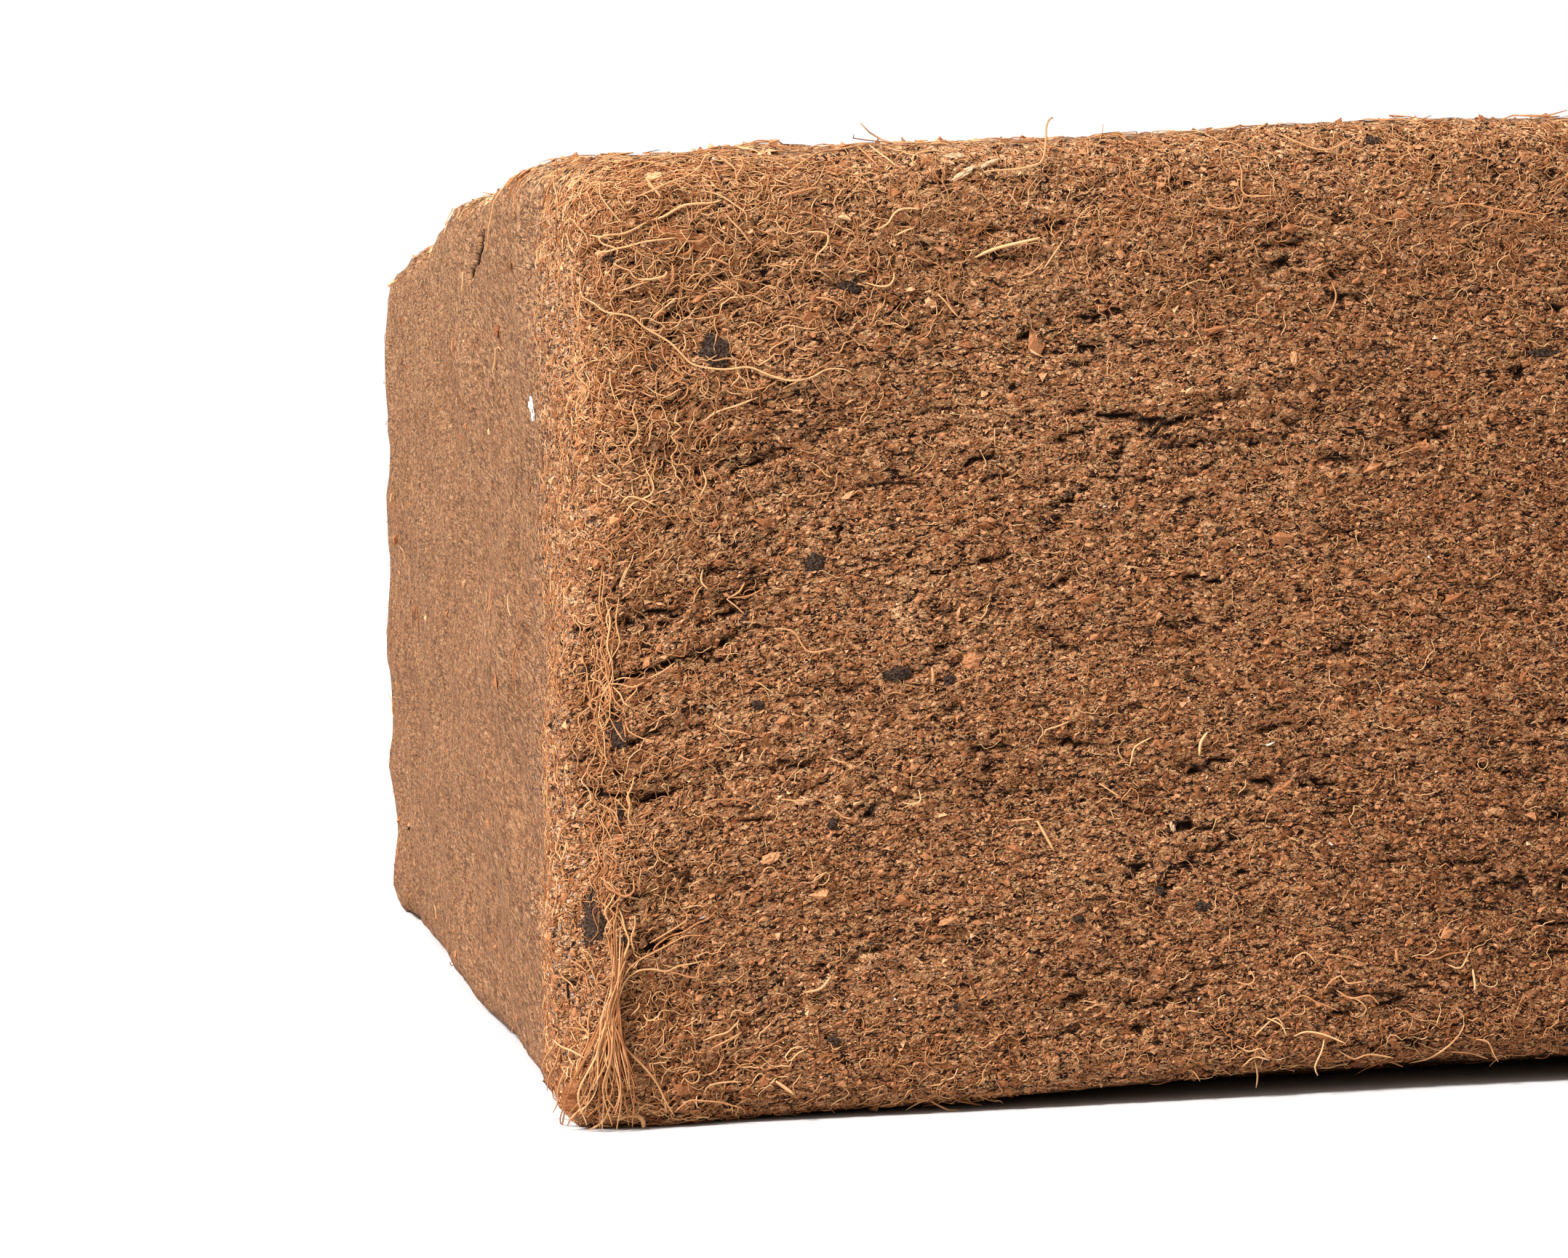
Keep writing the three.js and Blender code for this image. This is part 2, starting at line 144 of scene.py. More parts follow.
# %% Wires and graphs
class Wire:
    """One output of a node; operators on it add Math nodes."""

    def __init__(self, graph, socket):
        self.graph = graph
        self.socket = socket

    def math(self, operation, *others):
        return self.graph.node("ShaderNodeMath", {"operation": operation}, dict(enumerate((self, *others))))

    def __add__(self, other):
        return self.math("ADD", other)

    def __radd__(self, other):
        return self.math("ADD", other)

    def __mul__(self, other):
        return self.math("MULTIPLY", other)

    def __rmul__(self, other):
        return self.math("MULTIPLY", other)

    def __sub__(self, other):
        return self.math("SUBTRACT", other)

    def __rsub__(self, other):
        return self.graph.node("ShaderNodeMath", {"operation": "SUBTRACT"}, {0: other, 1: self})


class Graph:
    """Adds nodes to one tree, by type, settings and sockets, and hands back wires."""

    def __init__(self, tree):
        self.tree = tree
        tree.nodes.clear()

    def node(self, kind, settings=None, sockets=None, out=0):
        made = self.tree.nodes.new(kind)
        for name, value in (settings or {}).items():
            if name == "stops":
                self.set_stops(made.color_ramp, value)
            else:
                setattr(made, name, value)
        for name, value in (sockets or {}).items():
            if isinstance(value, Wire):
                self.tree.links.new(value.socket, made.inputs[name])
            else:
                made.inputs[name].default_value = value
        return Wire(self, made.outputs[out]) if len(made.outputs) else None

    @staticmethod
    def set_stops(ramp, stops):
        while len(ramp.elements) < len(stops):
            ramp.elements.new(1.0)
        for element, (position, colour) in zip(ramp.elements, stops):
            element.position = position
            element.color = (*colour, 1.0)

    def vector(self, operation, first, second):
        return self.node("ShaderNodeVectorMath", {"operation": operation}, {0: first, 1: second})

    def split(self, place):
        parts = self.node("ShaderNodeSeparateXYZ", sockets={0: place})
        return [Wire(self, socket) for socket in parts.socket.node.outputs]

    def join(self, x, y, z):
        return self.node("ShaderNodeCombineXYZ", sockets={0: x, 1: y, 2: z})

    def noise(self, place, size, detail=2.0, out=0):
        scaled = self.vector("DIVIDE", place, size)
        sockets = {"Vector": scaled, "Scale": 1.0, "Detail": detail}
        return self.node("ShaderNodeTexNoise", sockets=sockets, out=out)

    def step(self, value, low, high):
        """A soft step: 0 where value is at low, 1 where it is at high."""
        sockets = {"Value": value, 1: low, 2: high}
        return self.node("ShaderNodeMapRange", {"interpolation_type": "SMOOTHSTEP"}, sockets)

    def blend(self, mask, under, over):
        """Colour over in place of colour under, as far as the mask goes."""
        under, over = [tone if isinstance(tone, Wire) else (*tone, 1.0) for tone in (under, over)]
        return self.node("ShaderNodeMix", {"data_type": "RGBA"}, {0: mask, 6: under, 7: over}, out=2)


# %% [markdown]
# ## Patterns of pressed coir
# Pith crumbles into grains of less than a millimetre that lie flat in thin layers. The layers part in short
# wavy gaps, a few tenths of a millimetre thick, and slivers of fibre show between them. A Voronoi pattern
# gives each grain its own tone. Gaps and slivers are seams: thin lines where a noise crosses its middle,
# broken into short lengths by a second noise. The end faces slid along the mould when the bale was pushed
# out, so there the patterns are drawn out sideways. At the near corner the layers of the front face were
# dragged down with it.

# %% Grains, gaps and slivers
LAYER_DRAG = 14.0
DRAG_LENGTH = 30.0
END_STRETCH = 0.6
GRAINS = (0.85, 0.85, 0.46)
SPECKS = (0.25, 0.25, 0.12)
CLOTS = (1.3, 1.3, 0.6)
CLUMPS = (9.0, 9.0, 3.0)
GAPS = [((2.4, 2.4, 0.75), 0.055), ((1.3, 1.3, 0.44), 0.070)]
SLIVERS = [((1.5, 1.5, 1.0), 0.035), ((0.8, 0.8, 0.45), 0.050)]
SEAM_LENGTH = 0.9
OWN_TONE, SPECK_TONE, CLOT_TONE, CLUMP_TONE = 0.34, 0.20, 0.24, 0.30
OWN_HEIGHT, SPECK_HEIGHT, CLOT_HEIGHT, SLIVER_HEIGHT, GAP_DEPTH = 0.20, 0.08, 0.30, 0.14, 0.30


def place_in_layers(graph, place, rubbed):
    """The place in millimetres without the dip of the layers; on the rubbed ends, depth counts for less."""
    x, y, z = graph.split(graph.vector("DIVIDE", place, (MM, MM, MM)))
    dip = ((LEFT - x) * (1 / DRAG_LENGTH)).math("EXPONENT") * LAYER_DRAG
    z = z + dip * graph.step(y, 0.0, FRONT)
    on_end = rubbed.math("GREATER_THAN", 0.5)
    return graph.join(x, y * (1 - on_end * END_STRETCH), z)


def bent(graph, place, reach, size):
    """The place pushed about by up to half the reach, so that a pattern drawn with it turns crooked."""
    push = graph.noise(place, (size, size, size), detail=1.0, out="Color")
    push = graph.vector("SUBTRACT", push, (0.5, 0.5, 0.5))
    return graph.vector("ADD", place, graph.vector("MULTIPLY", push, (reach, reach, reach)))


def grains(graph, place, size):
    """A random tone about 0, even within each grain, and an outline on one part of the grains, which the
    crust paints dark as shade between them.
    """
    sockets = {"Vector": graph.vector("DIVIDE", place, size), "Scale": 1.0}
    middle = graph.node("ShaderNodeTexVoronoi", {"feature": "F1"}, sockets, out="Position")
    own = graph.node("ShaderNodeTexWhiteNoise", sockets={"Vector": middle}) - 0.5
    edge = graph.node("ShaderNodeTexVoronoi", {"feature": "DISTANCE_TO_EDGE"}, sockets)
    open_here = graph.step(graph.noise(graph.vector("ADD", place, (7.0, 2.0, 4.0)), CLOTS), 0.44, 0.54)
    return own, (1 - graph.step(edge, 0.02, 0.11)) * open_here


def seams(graph, place, kinds, shift):
    """1 along short thin wavy lines and 0 elsewhere; each kind has a size and a thickness."""
    found = 0.0
    for number, (size, thickness) in enumerate(kinds):
        spot = graph.vector("ADD", place, (shift + 9.0 * number, 5.0, 3.0))
        off_line = (graph.noise(spot, size, detail=1.5) - 0.5).math("ABSOLUTE")
        length = tuple(SEAM_LENGTH * side for side in size)
        breaks = graph.noise(graph.vector("ADD", spot, (31.0, 17.0, 5.0)), length, detail=1.0)
        kept = graph.step(breaks, 0.51, 0.55)
        found = ((1 - graph.step(off_line, 0.5 * thickness, thickness)) * kept).math("MAXIMUM", found)
    return found


def pressed_coir(graph, place):
    """The tone of the coir about 0, its gaps, which are painted dark as shade, and its pale slivers from 0 to
    1, and its relief.
    """
    crooked = bent(graph, place, 0.8, 0.7)
    own, outline = grains(graph, crooked, GRAINS)
    specks = graph.step(graph.noise(crooked, SPECKS, detail=1.0), 0.36, 0.64) - 0.5
    clots = graph.step(graph.noise(crooked, CLOTS), 0.36, 0.64) - 0.5
    clumps = graph.noise(place, CLUMPS, detail=3.0) - 0.5
    slivers = seams(graph, crooked, SLIVERS, 60.0)
    # The gaps and grain outlines are later painted near black: painted shade in the hollows.
    gaps = seams(graph, crooked, GAPS, 0.0).math("MAXIMUM", outline * 0.85) * (1 - slivers * 0.8)
    tone = own * OWN_TONE + specks * SPECK_TONE + clots * CLOT_TONE + clumps * CLUMP_TONE
    relief = own * OWN_HEIGHT + specks * SPECK_HEIGHT + clots * CLOT_HEIGHT
    return tone, gaps, slivers, relief + slivers * SLIVER_HEIGHT - gaps * GAP_DEPTH


# %% [markdown]
# ## The crust
# The skin of the bale replaces the plain block. It starts as a copy of the block, is remeshed into even
# small quads, and then made finer where the picture looks at it closely: there a quad is 0.7 mm wide. Along
# the long crack in the end face it is 0.4 mm. The underside is flat and never seen, so its faces are
# dissolved again.

# %% Selecting and applying
def take(piece):
    """Makes the piece the only selected object."""
    bpy.ops.object.select_all(action="DESELECT")
    piece.select_set(True)
    bpy.context.view_layer.objects.active = piece


def apply_modifier(piece, kind, **settings):
    take(piece)
    modifier = piece.modifiers.new(kind.title(), kind)
    for name, value in settings.items():
        setattr(modifier, name, value)
    bpy.ops.object.modifier_apply(modifier=modifier.name)


def read(items, name, width=3):
    """One property of all vertices or faces, as an array of rows."""
    values = np.empty(len(items) * width, dtype=np.float32)
    items.foreach_get(name, values)
    return values.reshape(-1, width).astype(float)


def edit_faces(piece, chosen, operator, **settings):
    """Uses one operator of edit mode on the chosen faces."""
    take(piece)
    bpy.ops.object.mode_set(mode="EDIT")
    bpy.ops.mesh.select_mode(type="FACE")
    bpy.ops.mesh.select_all(action="DESELECT")
    bpy.ops.object.mode_set(mode="OBJECT")
    piece.data.polygons.foreach_set("select", chosen)
    bpy.ops.object.mode_set(mode="EDIT")
    operator(**settings)
    bpy.ops.object.mode_set(mode="OBJECT")


def face_centres(piece):
    return read(piece.data.polygons, "center") / MM


def triangle_count(piece):
    return int(sum(len(face.vertices) - 2 for face in piece.data.polygons))


# %% Remesh a copy of the block
QUAD_SIZE = 2.8

crust = bpy.data.objects.new("coir_crust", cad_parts[NODE].data.copy())
bpy.context.collection.objects.link(crust)
take(crust)
bpy.ops.object.mode_set(mode="EDIT")
bpy.ops.mesh.select_all(action="SELECT")
bpy.ops.mesh.remove_doubles(threshold=0.001 * MM)
bpy.ops.object.mode_set(mode="OBJECT")
apply_modifier(crust, "REMESH", mode="VOXEL", voxel_size=QUAD_SIZE * MM)
print("remeshed crust:", triangle_count(crust), "triangles")

# %% Fine quads in view, and one face below
NEAR_FRONT_END = -18.0
NEAR_FRONT_FADE = 30.0
NEAR_END_BACK = FRONT + 55.0
EDGE_REACH = 12.0
END_REACH = 8.0
TOP_RIM, TOP_RIM_DEPTH, END_RIM = 6.0, 9.0, 7.0
UNDERSIDE = 0.02
END_CRACK = [
    (97.5, 114.0), (101.0, 113.9), (104.5, 112.4), (109.0, 112.6),
    (113.0, 110.9), (118.5, 110.6), (124.0, 108.0), (130.7, 107.0),
]
END_CRACK_CUTS = 6
FINE_PASSES = [(NEAR_FRONT_END + 5, NEAR_END_BACK + 30), (NEAR_FRONT_END, FRONT + EDGE_REACH)]


def distance_to_path(points, path):
    """The distance of each point to a broken line, all in the plane of a face."""
    best = np.full(len(points), np.inf)
    for start, end in zip(np.array(path[:-1]), np.array(path[1:])):
        way = end - start
        share = np.clip(((points - start) @ way) / (way @ way), 0, 1)
        best = np.minimum(best, np.linalg.norm(points - start - share[:, None] * way, axis=1))
    return best


def faces_near(piece, front_end, end_back):
    """The faces of the front up to front_end, and those of the end face up to end_back."""
    centre = face_centres(piece)
    normal = read(piece.data.polygons, "normal")
    front = (normal[:, 1] < -0.3) & (centre[:, 1] < FRONT + EDGE_REACH) & (centre[:, 0] < front_end)
    on_top_rim = (centre[:, 2] > TOP - TOP_RIM) & (centre[:, 1] < FRONT + TOP_RIM_DEPTH)
    top_edge = on_top_rim & (centre[:, 0] < front_end)
    end = (centre[:, 0] < LEFT + END_RIM) & (centre[:, 1] < end_back)
    return front | top_edge | end


flat_base = face_centres(crust)[:, 2] < UNDERSIDE
edit_faces(crust, flat_base, bpy.ops.mesh.dissolve_limited, angle_limit=math.radians(1.0))
centre = face_centres(crust)
from_end_crack = distance_to_path(centre[:, 1:] - (FRONT, 0), END_CRACK)
along_end_crack = (centre[:, 0] < LEFT + END_REACH) & (from_end_crack < 2 * QUAD_SIZE)
edit_faces(crust, along_end_crack, bpy.ops.mesh.subdivide, number_cuts=END_CRACK_CUTS)
for front_end, end_back in FINE_PASSES:
    edit_faces(crust, faces_near(crust, front_end, end_back), bpy.ops.mesh.subdivide, number_cuts=1)
print("crust with its fine region:", triangle_count(crust), "triangles")

# %% [markdown]
# ### Cracks
# A few cracks, a slot and a pit stand out. Each one is a short path on a face, and every vertex of the
# crust is told how deep in a crack it lies by its distance to that path. The many small cracks come from a
# noise that is stretched along the layers: it opens wherever its value crosses the middle.

# %% Crack paths, from the near corner: (along the face, height), then half width and depth
FRONT_CRACKS = [
    ([(2.7, 42.2), (5.5, 41.5), (9.5, 40.8), (13.0, 41.6)], 0.3, 1.1),
    ([(5.2, 55.1), (10, 56.2), (14, 57.8), (17.9, 58.7)], 0.3, 1.0),
    ([(7.4, 32.4), (7.9, 30.2), (8.7, 28.4)], 0.3, 1.0),
    ([(36.2, 102.8), (38.4, 102.4)], 0.35, 1.1),
    ([(6.4, 44.2), (7.2, 43.9)], 0.35, 1.1),
]
END_CRACKS = [
    (END_CRACK, 0.9, 1.4),
    (END_CRACK[1:-1], 1.4, 1.9),
    (END_CRACK[2:-2], 1.9, 2.4),
    ([(106.0, 113.4), (109.5, 114.6), (112.0, 114.3)], 0.6, 0.8),
    ([(116.5, 110.2), (119.5, 108.6), (121.0, 108.4)], 0.6, 0.9),
]
SEEN_CRACKS = [
    ([(1450, 1018), (1475, 1020), (1500, 1027), (1540, 1025), (1592, 1021)], 0.2, 0.9),
    ([(1355, 1087), (1400, 1091), (1428, 1089), (1452, 1083)], 0.2, 0.7),
    ([(1590, 1137), (1625, 1141), (1660, 1139), (1700, 1143)], 0.2, 0.8),
    ([(842, 940), (866, 933), (884, 922), (905, 918), (926, 911)], 0.25, 1.0),
    ([(962, 903), (976, 896), (996, 880)], 0.25, 1.0),
    ([(1018, 871), (1034, 864), (1050, 862), (1082, 868)], 0.2, 0.7),
    ([(868, 1092), (884, 1101), (905, 1098), (934, 1079)], 0.25, 0.9),
    ([(806, 1090), (822, 1096), (842, 1095)], 0.25, 0.9),
    ([(1005, 1206), (1019, 1203), (1033, 1204)], 0.2, 0.7),
]
FRONT_CRACKS += [
    ([(x - LEFT, z) for x, _, z in on_front_plane(pixels)], half_width, depth)
    for pixels, half_width, depth in SEEN_CRACKS
]
FINE_CRACKS = 330
CRACKS_IN_GROUP = 4
GROUPS_FROM, GROUPS_TO = (2, 6), (150.0, 114)
GROUP_SPREAD = (5.0, 3.0)
FINE_CRACK_WIDTHS = (0.10, 0.24)
FINE_CRACK_DEPTHS = (0.5, 1.0)
CRACK_RIM = 1.3


def layer_rise(x):
    """How steeply the layers of the front face rise at a distance from the near corner."""
    return LAYER_DRAG / DRAG_LENGTH * np.exp(-x / DRAG_LENGTH)


def fine_cracks(draw, count):
    """Short wavy cracks along the layers of the front face, in loose groups."""
    groups = draw.uniform(GROUPS_FROM, GROUPS_TO, (count // CRACKS_IN_GROUP, 2))
    cracks = []
    for _ in range(count):
        x, z = groups[draw.integers(len(groups))] + draw.normal(0.0, GROUP_SPREAD)
        half = 0.5 * draw.lognormal(1.0, 0.5)
        rise = layer_rise(max(x, 0.0)) + draw.normal(0.0, 0.12)
        steps = np.linspace(-half, half, 6)
        line = [(x + step, z + rise * step + draw.normal(0.0, 0.3)) for step in steps]
        cracks.append((line, draw.uniform(*FINE_CRACK_WIDTHS), draw.uniform(*FINE_CRACK_DEPTHS)))
    return cracks


FRONT_CRACKS += fine_cracks(np.random.default_rng(5), FINE_CRACKS)


def crack_depths(place, normal, least_width=0.0):
    """How deep each place lies in a crack, in millimetres; no crack is narrower than least_width."""
    depth = np.zeros(len(place))
    on_front = (normal[:, 1] < -0.5) & (place[:, 1] < FRONT + EDGE_REACH)
    on_end = (normal[:, 0] < -0.5) & (place[:, 0] < LEFT + END_REACH)
    faces = (
        (FRONT_CRACKS, on_front, np.column_stack([place[:, 0] - LEFT, place[:, 2]])),
        (END_CRACKS, on_end, np.column_stack([place[:, 1] - FRONT, place[:, 2]])),
    )
    for cracks, on_face, flat in faces:
        for path, half_width, deepest in cracks:
            reach = CRACK_RIM * max(half_width, least_width)
            low, high = np.min(path, axis=0) - reach, np.max(path, axis=0) + reach
            close = np.flatnonzero(on_face & ((flat > low) & (flat < high)).all(axis=1))
            away = distance_to_path(flat[close], path) / reach
            depth[close] = np.maximum(depth[close], deepest * np.clip(CRACK_RIM * (1 - away), 0, 1))
    return depth


def store(piece, name, kind, values):
    """Keeps one value for each vertex as a named attribute."""
    attribute = piece.data.attributes.new(name, kind, "POINT")
    field = "vector" if kind == "FLOAT_VECTOR" else "value"
    attribute.data.foreach_set(field, np.asarray(values, dtype=np.float32).ravel())


# %% Tell the crust about its cracks, its rubbed ends and its place before it is displaced
skin_place = read(crust.data.vertices, "co") / MM
skin_normal = read(crust.data.vertices, "normal")
fine_quad = QUAD_SIZE / (END_CRACK_CUTS + 1)
store(crust, "crack_depth", "FLOAT", crack_depths(skin_place, skin_normal, least_width=fine_quad))
store(crust, "rubbed", "FLOAT", np.clip((np.abs(skin_normal[:, 0]) - 0.5) / 0.3, 0, 1))
store(crust, "skin_place", "FLOAT_VECTOR", skin_place * MM)
bare_skin = crust.data.copy()

# %% [markdown]
# ### Relief
# Geometry Nodes move each vertex along its normal by the height of the clumps, and inwards where a crack
# is. The underside's border stays where it is, so the bale still stands on its flat base.

# %% Press the clumps into the crust
LUMPS = (2.6, 2.6, 1.2)
LUMP_RELIEF = 0.8
CLUMP_RELIEF = 1.5
RUBBED_SHARE = 0.3
SMALL_CRACK_DEPTH = 0.5
SMALL_CRACK_LINES = (7.0, 7.0, 1.5)
SMALL_CRACK_BREAKS = (3.5, 3.5, 1.6)
SMALL_CRACK_PATCHES = (18.0, 18.0, 8.0)
BASE_FIXED, BASE_FREE = 0.3, 2.0


def small_cracks(graph, place):
    """Thin cracks along the layers, in patches: 1 in a crack and 0 beside it."""
    line = graph.noise(place, SMALL_CRACK_LINES)
    off_line = (line - 0.5).math("ABSOLUTE")
    broken_up = graph.step(graph.noise(place, SMALL_CRACK_BREAKS, detail=1.0), 0.5, 0.56)
    patch = graph.step(graph.noise(place, SMALL_CRACK_PATCHES, detail=1.0), 0.42, 0.56)
    return (1 - graph.step(off_line, 0.008, 0.022)) * patch * broken_up


def relief_group():
    """A geometry group that presses clumps and cracks into the mesh it is given."""
    group = bpy.data.node_groups.new("pressed relief", "GeometryNodeTree")
    for way in ("INPUT", "OUTPUT"):
        group.interface.new_socket("Geometry", in_out=way, socket_type="NodeSocketGeometry")
    graph = Graph(group)
    mesh = graph.node("NodeGroupInput")
    spot = graph.node("GeometryNodeInputPosition")
    outwards = graph.node("GeometryNodeInputNormal")
    cut = graph.node("GeometryNodeInputNamedAttribute", {"data_type": "FLOAT"}, {"Name": "crack_depth"})
    rubbed = graph.node("GeometryNodeInputNamedAttribute", {"data_type": "FLOAT"}, {"Name": "rubbed"})
    place = place_in_layers(graph, spot, rubbed)
    lumps = (graph.noise(place, LUMPS) - 0.5) * LUMP_RELIEF
    clumps = (graph.noise(place, CLUMPS, detail=3.0) - 0.5) * CLUMP_RELIEF
    relief = lumps + clumps - small_cracks(graph, place) * SMALL_CRACK_DEPTH
    height = relief * (1 - rubbed * (1 - RUBBED_SHARE)) - cut
    _, _, z = graph.split(spot)
    off_base = graph.step(z, BASE_FIXED * MM, BASE_FREE * MM)
    height = height * off_base * MM
    offset = graph.vector("MULTIPLY", outwards, graph.join(height, height, height))
    moved = graph.node("GeometryNodeSetPosition", sockets={"Geometry": mesh, "Offset": offset})
    graph.node("NodeGroupOutput", sockets={0: moved})
    return group


apply_modifier(crust, "NODES", node_group=relief_group())
take(crust)
bpy.ops.object.shade_smooth()
moved = np.linalg.norm(read(crust.data.vertices, "co") / MM - skin_place, axis=1)
print(f"the relief moved the crust by up to {moved.max():.2f} mm")

# %% [markdown]
# ## Where things lie on the crust
# Crumbs and fibres are scattered over the crust. The bare skin, from before its relief, has calm normals,
# and its triangles are those of the crust, so a place on one is a place on the other. A place is drawn by
# choosing a triangle, larger ones more often, and then a point in it. A weight for each triangle says how
# much lies there.

# %% The skin as triangles
bare_skin.calc_loop_triangles()
skin_corners = np.empty(len(bare_skin.loop_triangles) * 3, dtype=np.int32)
bare_skin.loop_triangles.foreach_get("vertices", skin_corners)
skin_corners = skin_corners.reshape(-1, 3)
skin_tree = BVHTree.FromPolygons(skin_place.tolist(), skin_corners.tolist())
triangle_points = skin_place[skin_corners]
first_corner, second_corner, third_corner = triangle_points.transpose(1, 0, 2)
triangle_cross = np.cross(second_corner - first_corner, third_corner - first_corner)
triangle_area = np.linalg.norm(triangle_cross, axis=1) / 2
triangle_normal = triangle_cross / np.maximum(2 * triangle_area, 1e-9)[:, None]
triangle_centre = triangle_points.mean(axis=1)
crust_place = read(crust.data.vertices, "co") / MM
skin_relief = ((crust_place - skin_place) * skin_normal).sum(axis=1)
print("skin area", round(triangle_area.sum() / 100), "square centimetres")


def draw_places(draw, count, weight):
    """Random places on the crust and their calm normals; weight is a function of place and normal."""
    share = triangle_area * weight(triangle_centre, triangle_normal)
    chosen = draw.choice(len(share), size=count, p=share / share.sum())
    a, b = draw.random((2, count, 1))
    over = (a + b) > 1
    a, b = np.where(over, 1 - a, a), np.where(over, 1 - b, b)
    corner = crust_place[skin_corners[chosen]]
    place = corner[:, 0] + a * (corner[:, 1] - corner[:, 0]) + b * (corner[:, 2] - corner[:, 0])
    return place, triangle_normal[chosen]


def side_frame(normal):
    """For each normal, the level way along the face and the way up it; on top, X and Y."""
    on_top = np.abs(normal[:, 2:]) > 0.8
    sideways = np.column_stack([-normal[:, 1], normal[:, 0], 0 * normal[:, 0]])
    level = np.where(on_top, (1.0, 0.0, 0.0), sideways)
    level = unit(level - (level * normal).sum(axis=1, keepdims=True) * normal)
    return level, np.cross(normal, level)


def new_piece(name, points, faces, tone):
    """A mesh object from places in millimetres and lists of corners, with a tone for each vertex."""
    mesh = bpy.data.meshes.new(name)
    mesh.from_pydata((points * MM).tolist(), [], faces)
    piece = bpy.data.objects.new(name, mesh)
    bpy.context.collection.objects.link(piece)
    store(piece, "tone", "FLOAT", tone)
    print(name, "has", triangle_count(piece), "triangles")
    return piece


# %% [markdown]
# ## Crumbs
# The crispest detail is made of real crumbs, from a third of a millimetre to two millimetres long. Each one
# is a grain with four faces or a chip with eight, its corners pushed about, sunk half into the crust. On
# the broken sides they lie along the layers, and on the rubbed ends upright. None lies in a crack, so
# cracks stay dark.


# %% Crumbs
CRUMB_CLEARANCE = 0.25
CRUMB_SPREAD = 0.35
CRUMB_SPIN = 0.45
CORNER_PUSH = 0.35
CRUMB_BREADTH, CRUMB_DEPTH = (0.4, 0.85), (0.35, 0.75)
CHIP_CORNERS = np.array([(1, 0, 0), (-1, 0, 0), (0, 1, 0), (0, -1, 0), (0, 0, 1), (0, 0, -1)], dtype=float)
CHIP_FACES = np.array([
    (0, 2, 4), (2, 1, 4), (1, 3, 4), (3, 0, 4),
    (2, 0, 5), (1, 2, 5), (3, 1, 5), (0, 3, 5),
])
GRAIN_CORNERS = np.array([(1.1, 0.1, -0.5), (-0.6, 0.9, -0.5), (-0.6, -0.9, -0.5), (0, 0, 1.0)])
GRAIN_FACES = np.array([(0, 1, 3), (1, 2, 3), (2, 0, 3), (0, 2, 1)])


def layer_slope(place):
    """The angle in radians at which the layers of the front face rise away from the near corner."""
    return np.arctan(layer_rise(np.maximum(place[:, 0] - LEFT, 0)))


def crumb_shapes(draw, count, weight, size, shape=CHIP_CORNERS, stray=0.45, sink=(-0.2, 0.3), palest=0.99):
    """Corners and tones of crumbs of about the given half length; no tone is above palest."""
    place, normal = draw_places(draw, count, weight)
    kept = crack_depths(place, normal, least_width=CRUMB_CLEARANCE) == 0
    place, normal = place[kept], normal[kept]
    count = len(place)
    level, up = side_frame(normal)
    half = size * draw.lognormal(0.0, CRUMB_SPREAD, count)
    rubbed = np.abs(normal[:, 0]) > 0.7
    spin = draw.normal(0.0, CRUMB_SPIN, count) + np.where(rubbed, math.pi / 2, 0)
    spin = spin + np.where(normal[:, 1] < -0.7, layer_slope(place), 0)
    spin = np.where(normal[:, 2] > 0.7, draw.uniform(0, math.pi, count), spin)
    along = np.cos(spin)[:, None] * level + np.sin(spin)[:, None] * up
    out = unit(normal + stray * draw.normal(size=(count, 3)))
    across = unit(np.cross(out, along))
    corners = shape[None] + CORNER_PUSH * draw.normal(size=(count, len(shape), 3)).clip(-1.5, 1.5)
    breadth = half * draw.uniform(*CRUMB_BREADTH, count)
    depth = half * draw.uniform(*CRUMB_DEPTH, count)
    corners = corners * np.stack([half, breadth, depth], axis=1)[:, None, :]
    points = (
        place[:, None]
        + (normal * (half * draw.uniform(*sink, count))[:, None])[:, None]
        + corners[:, :, :1] * along[:, None]
        + corners[:, :, 1:2] * across[:, None]
        + corners[:, :, 2:] * out[:, None]
    )
    return points, palest * draw.random(count)


def crumb_piece(name, batches, shape_faces=CHIP_FACES):
    points = np.concatenate([batch[0] for batch in batches])
    tone = np.concatenate([batch[1] for batch in batches])
    corners = points.shape[1]
    faces = shape_faces[None] + corners * np.arange(len(points))[:, None, None]
    return new_piece(name, points.reshape(-1, 3), faces.reshape(-1, 3).tolist(), np.repeat(tone, corners))


def bump(value, middle, reach):
    """1 at the middle and 0 from reach away."""
    return np.clip(1 - np.abs(value - middle) / reach, 0, 1)


def fade(value, full, gone):
    """1 up to full and 0 from gone on."""
    return np.clip((gone - value) / (gone - full), 0, 1)


def on_near_front(place, normal):
    on_front = (normal[:, 1] < -0.3) & (place[:, 1] < FRONT + EDGE_REACH)
    return on_front & (place[:, 0] < NEAR_FRONT_END + NEAR_FRONT_FADE)


def near_front_weight(place, normal):
    """1 on the part of the front that is seen closely, and fading to 0 beyond it."""
    fading = fade(place[:, 0], NEAR_FRONT_END, NEAR_FRONT_END + NEAR_FRONT_FADE)
    return on_near_front(place, normal) * fading


def near_crumb_weight(place, normal):
    near_end = (normal[:, 0] < -0.5) * fade(place[:, 1] - FRONT, 6, 30)
    return near_front_weight(place, normal) + 0.7 * near_end


def low_edge_weight(place, normal):
    """The foot of the front face and of the near corner, where whole flakes of husk lie."""
    near = on_near_front(place, normal) + (normal[:, 0] < -0.3) * (place[:, 1] < FRONT + EDGE_REACH)
    return near * (bump(place[:, 2], 5, 9) + bump(place[:, 0] - LEFT, 6, 20) * bump(place[:, 2], 10, 22))


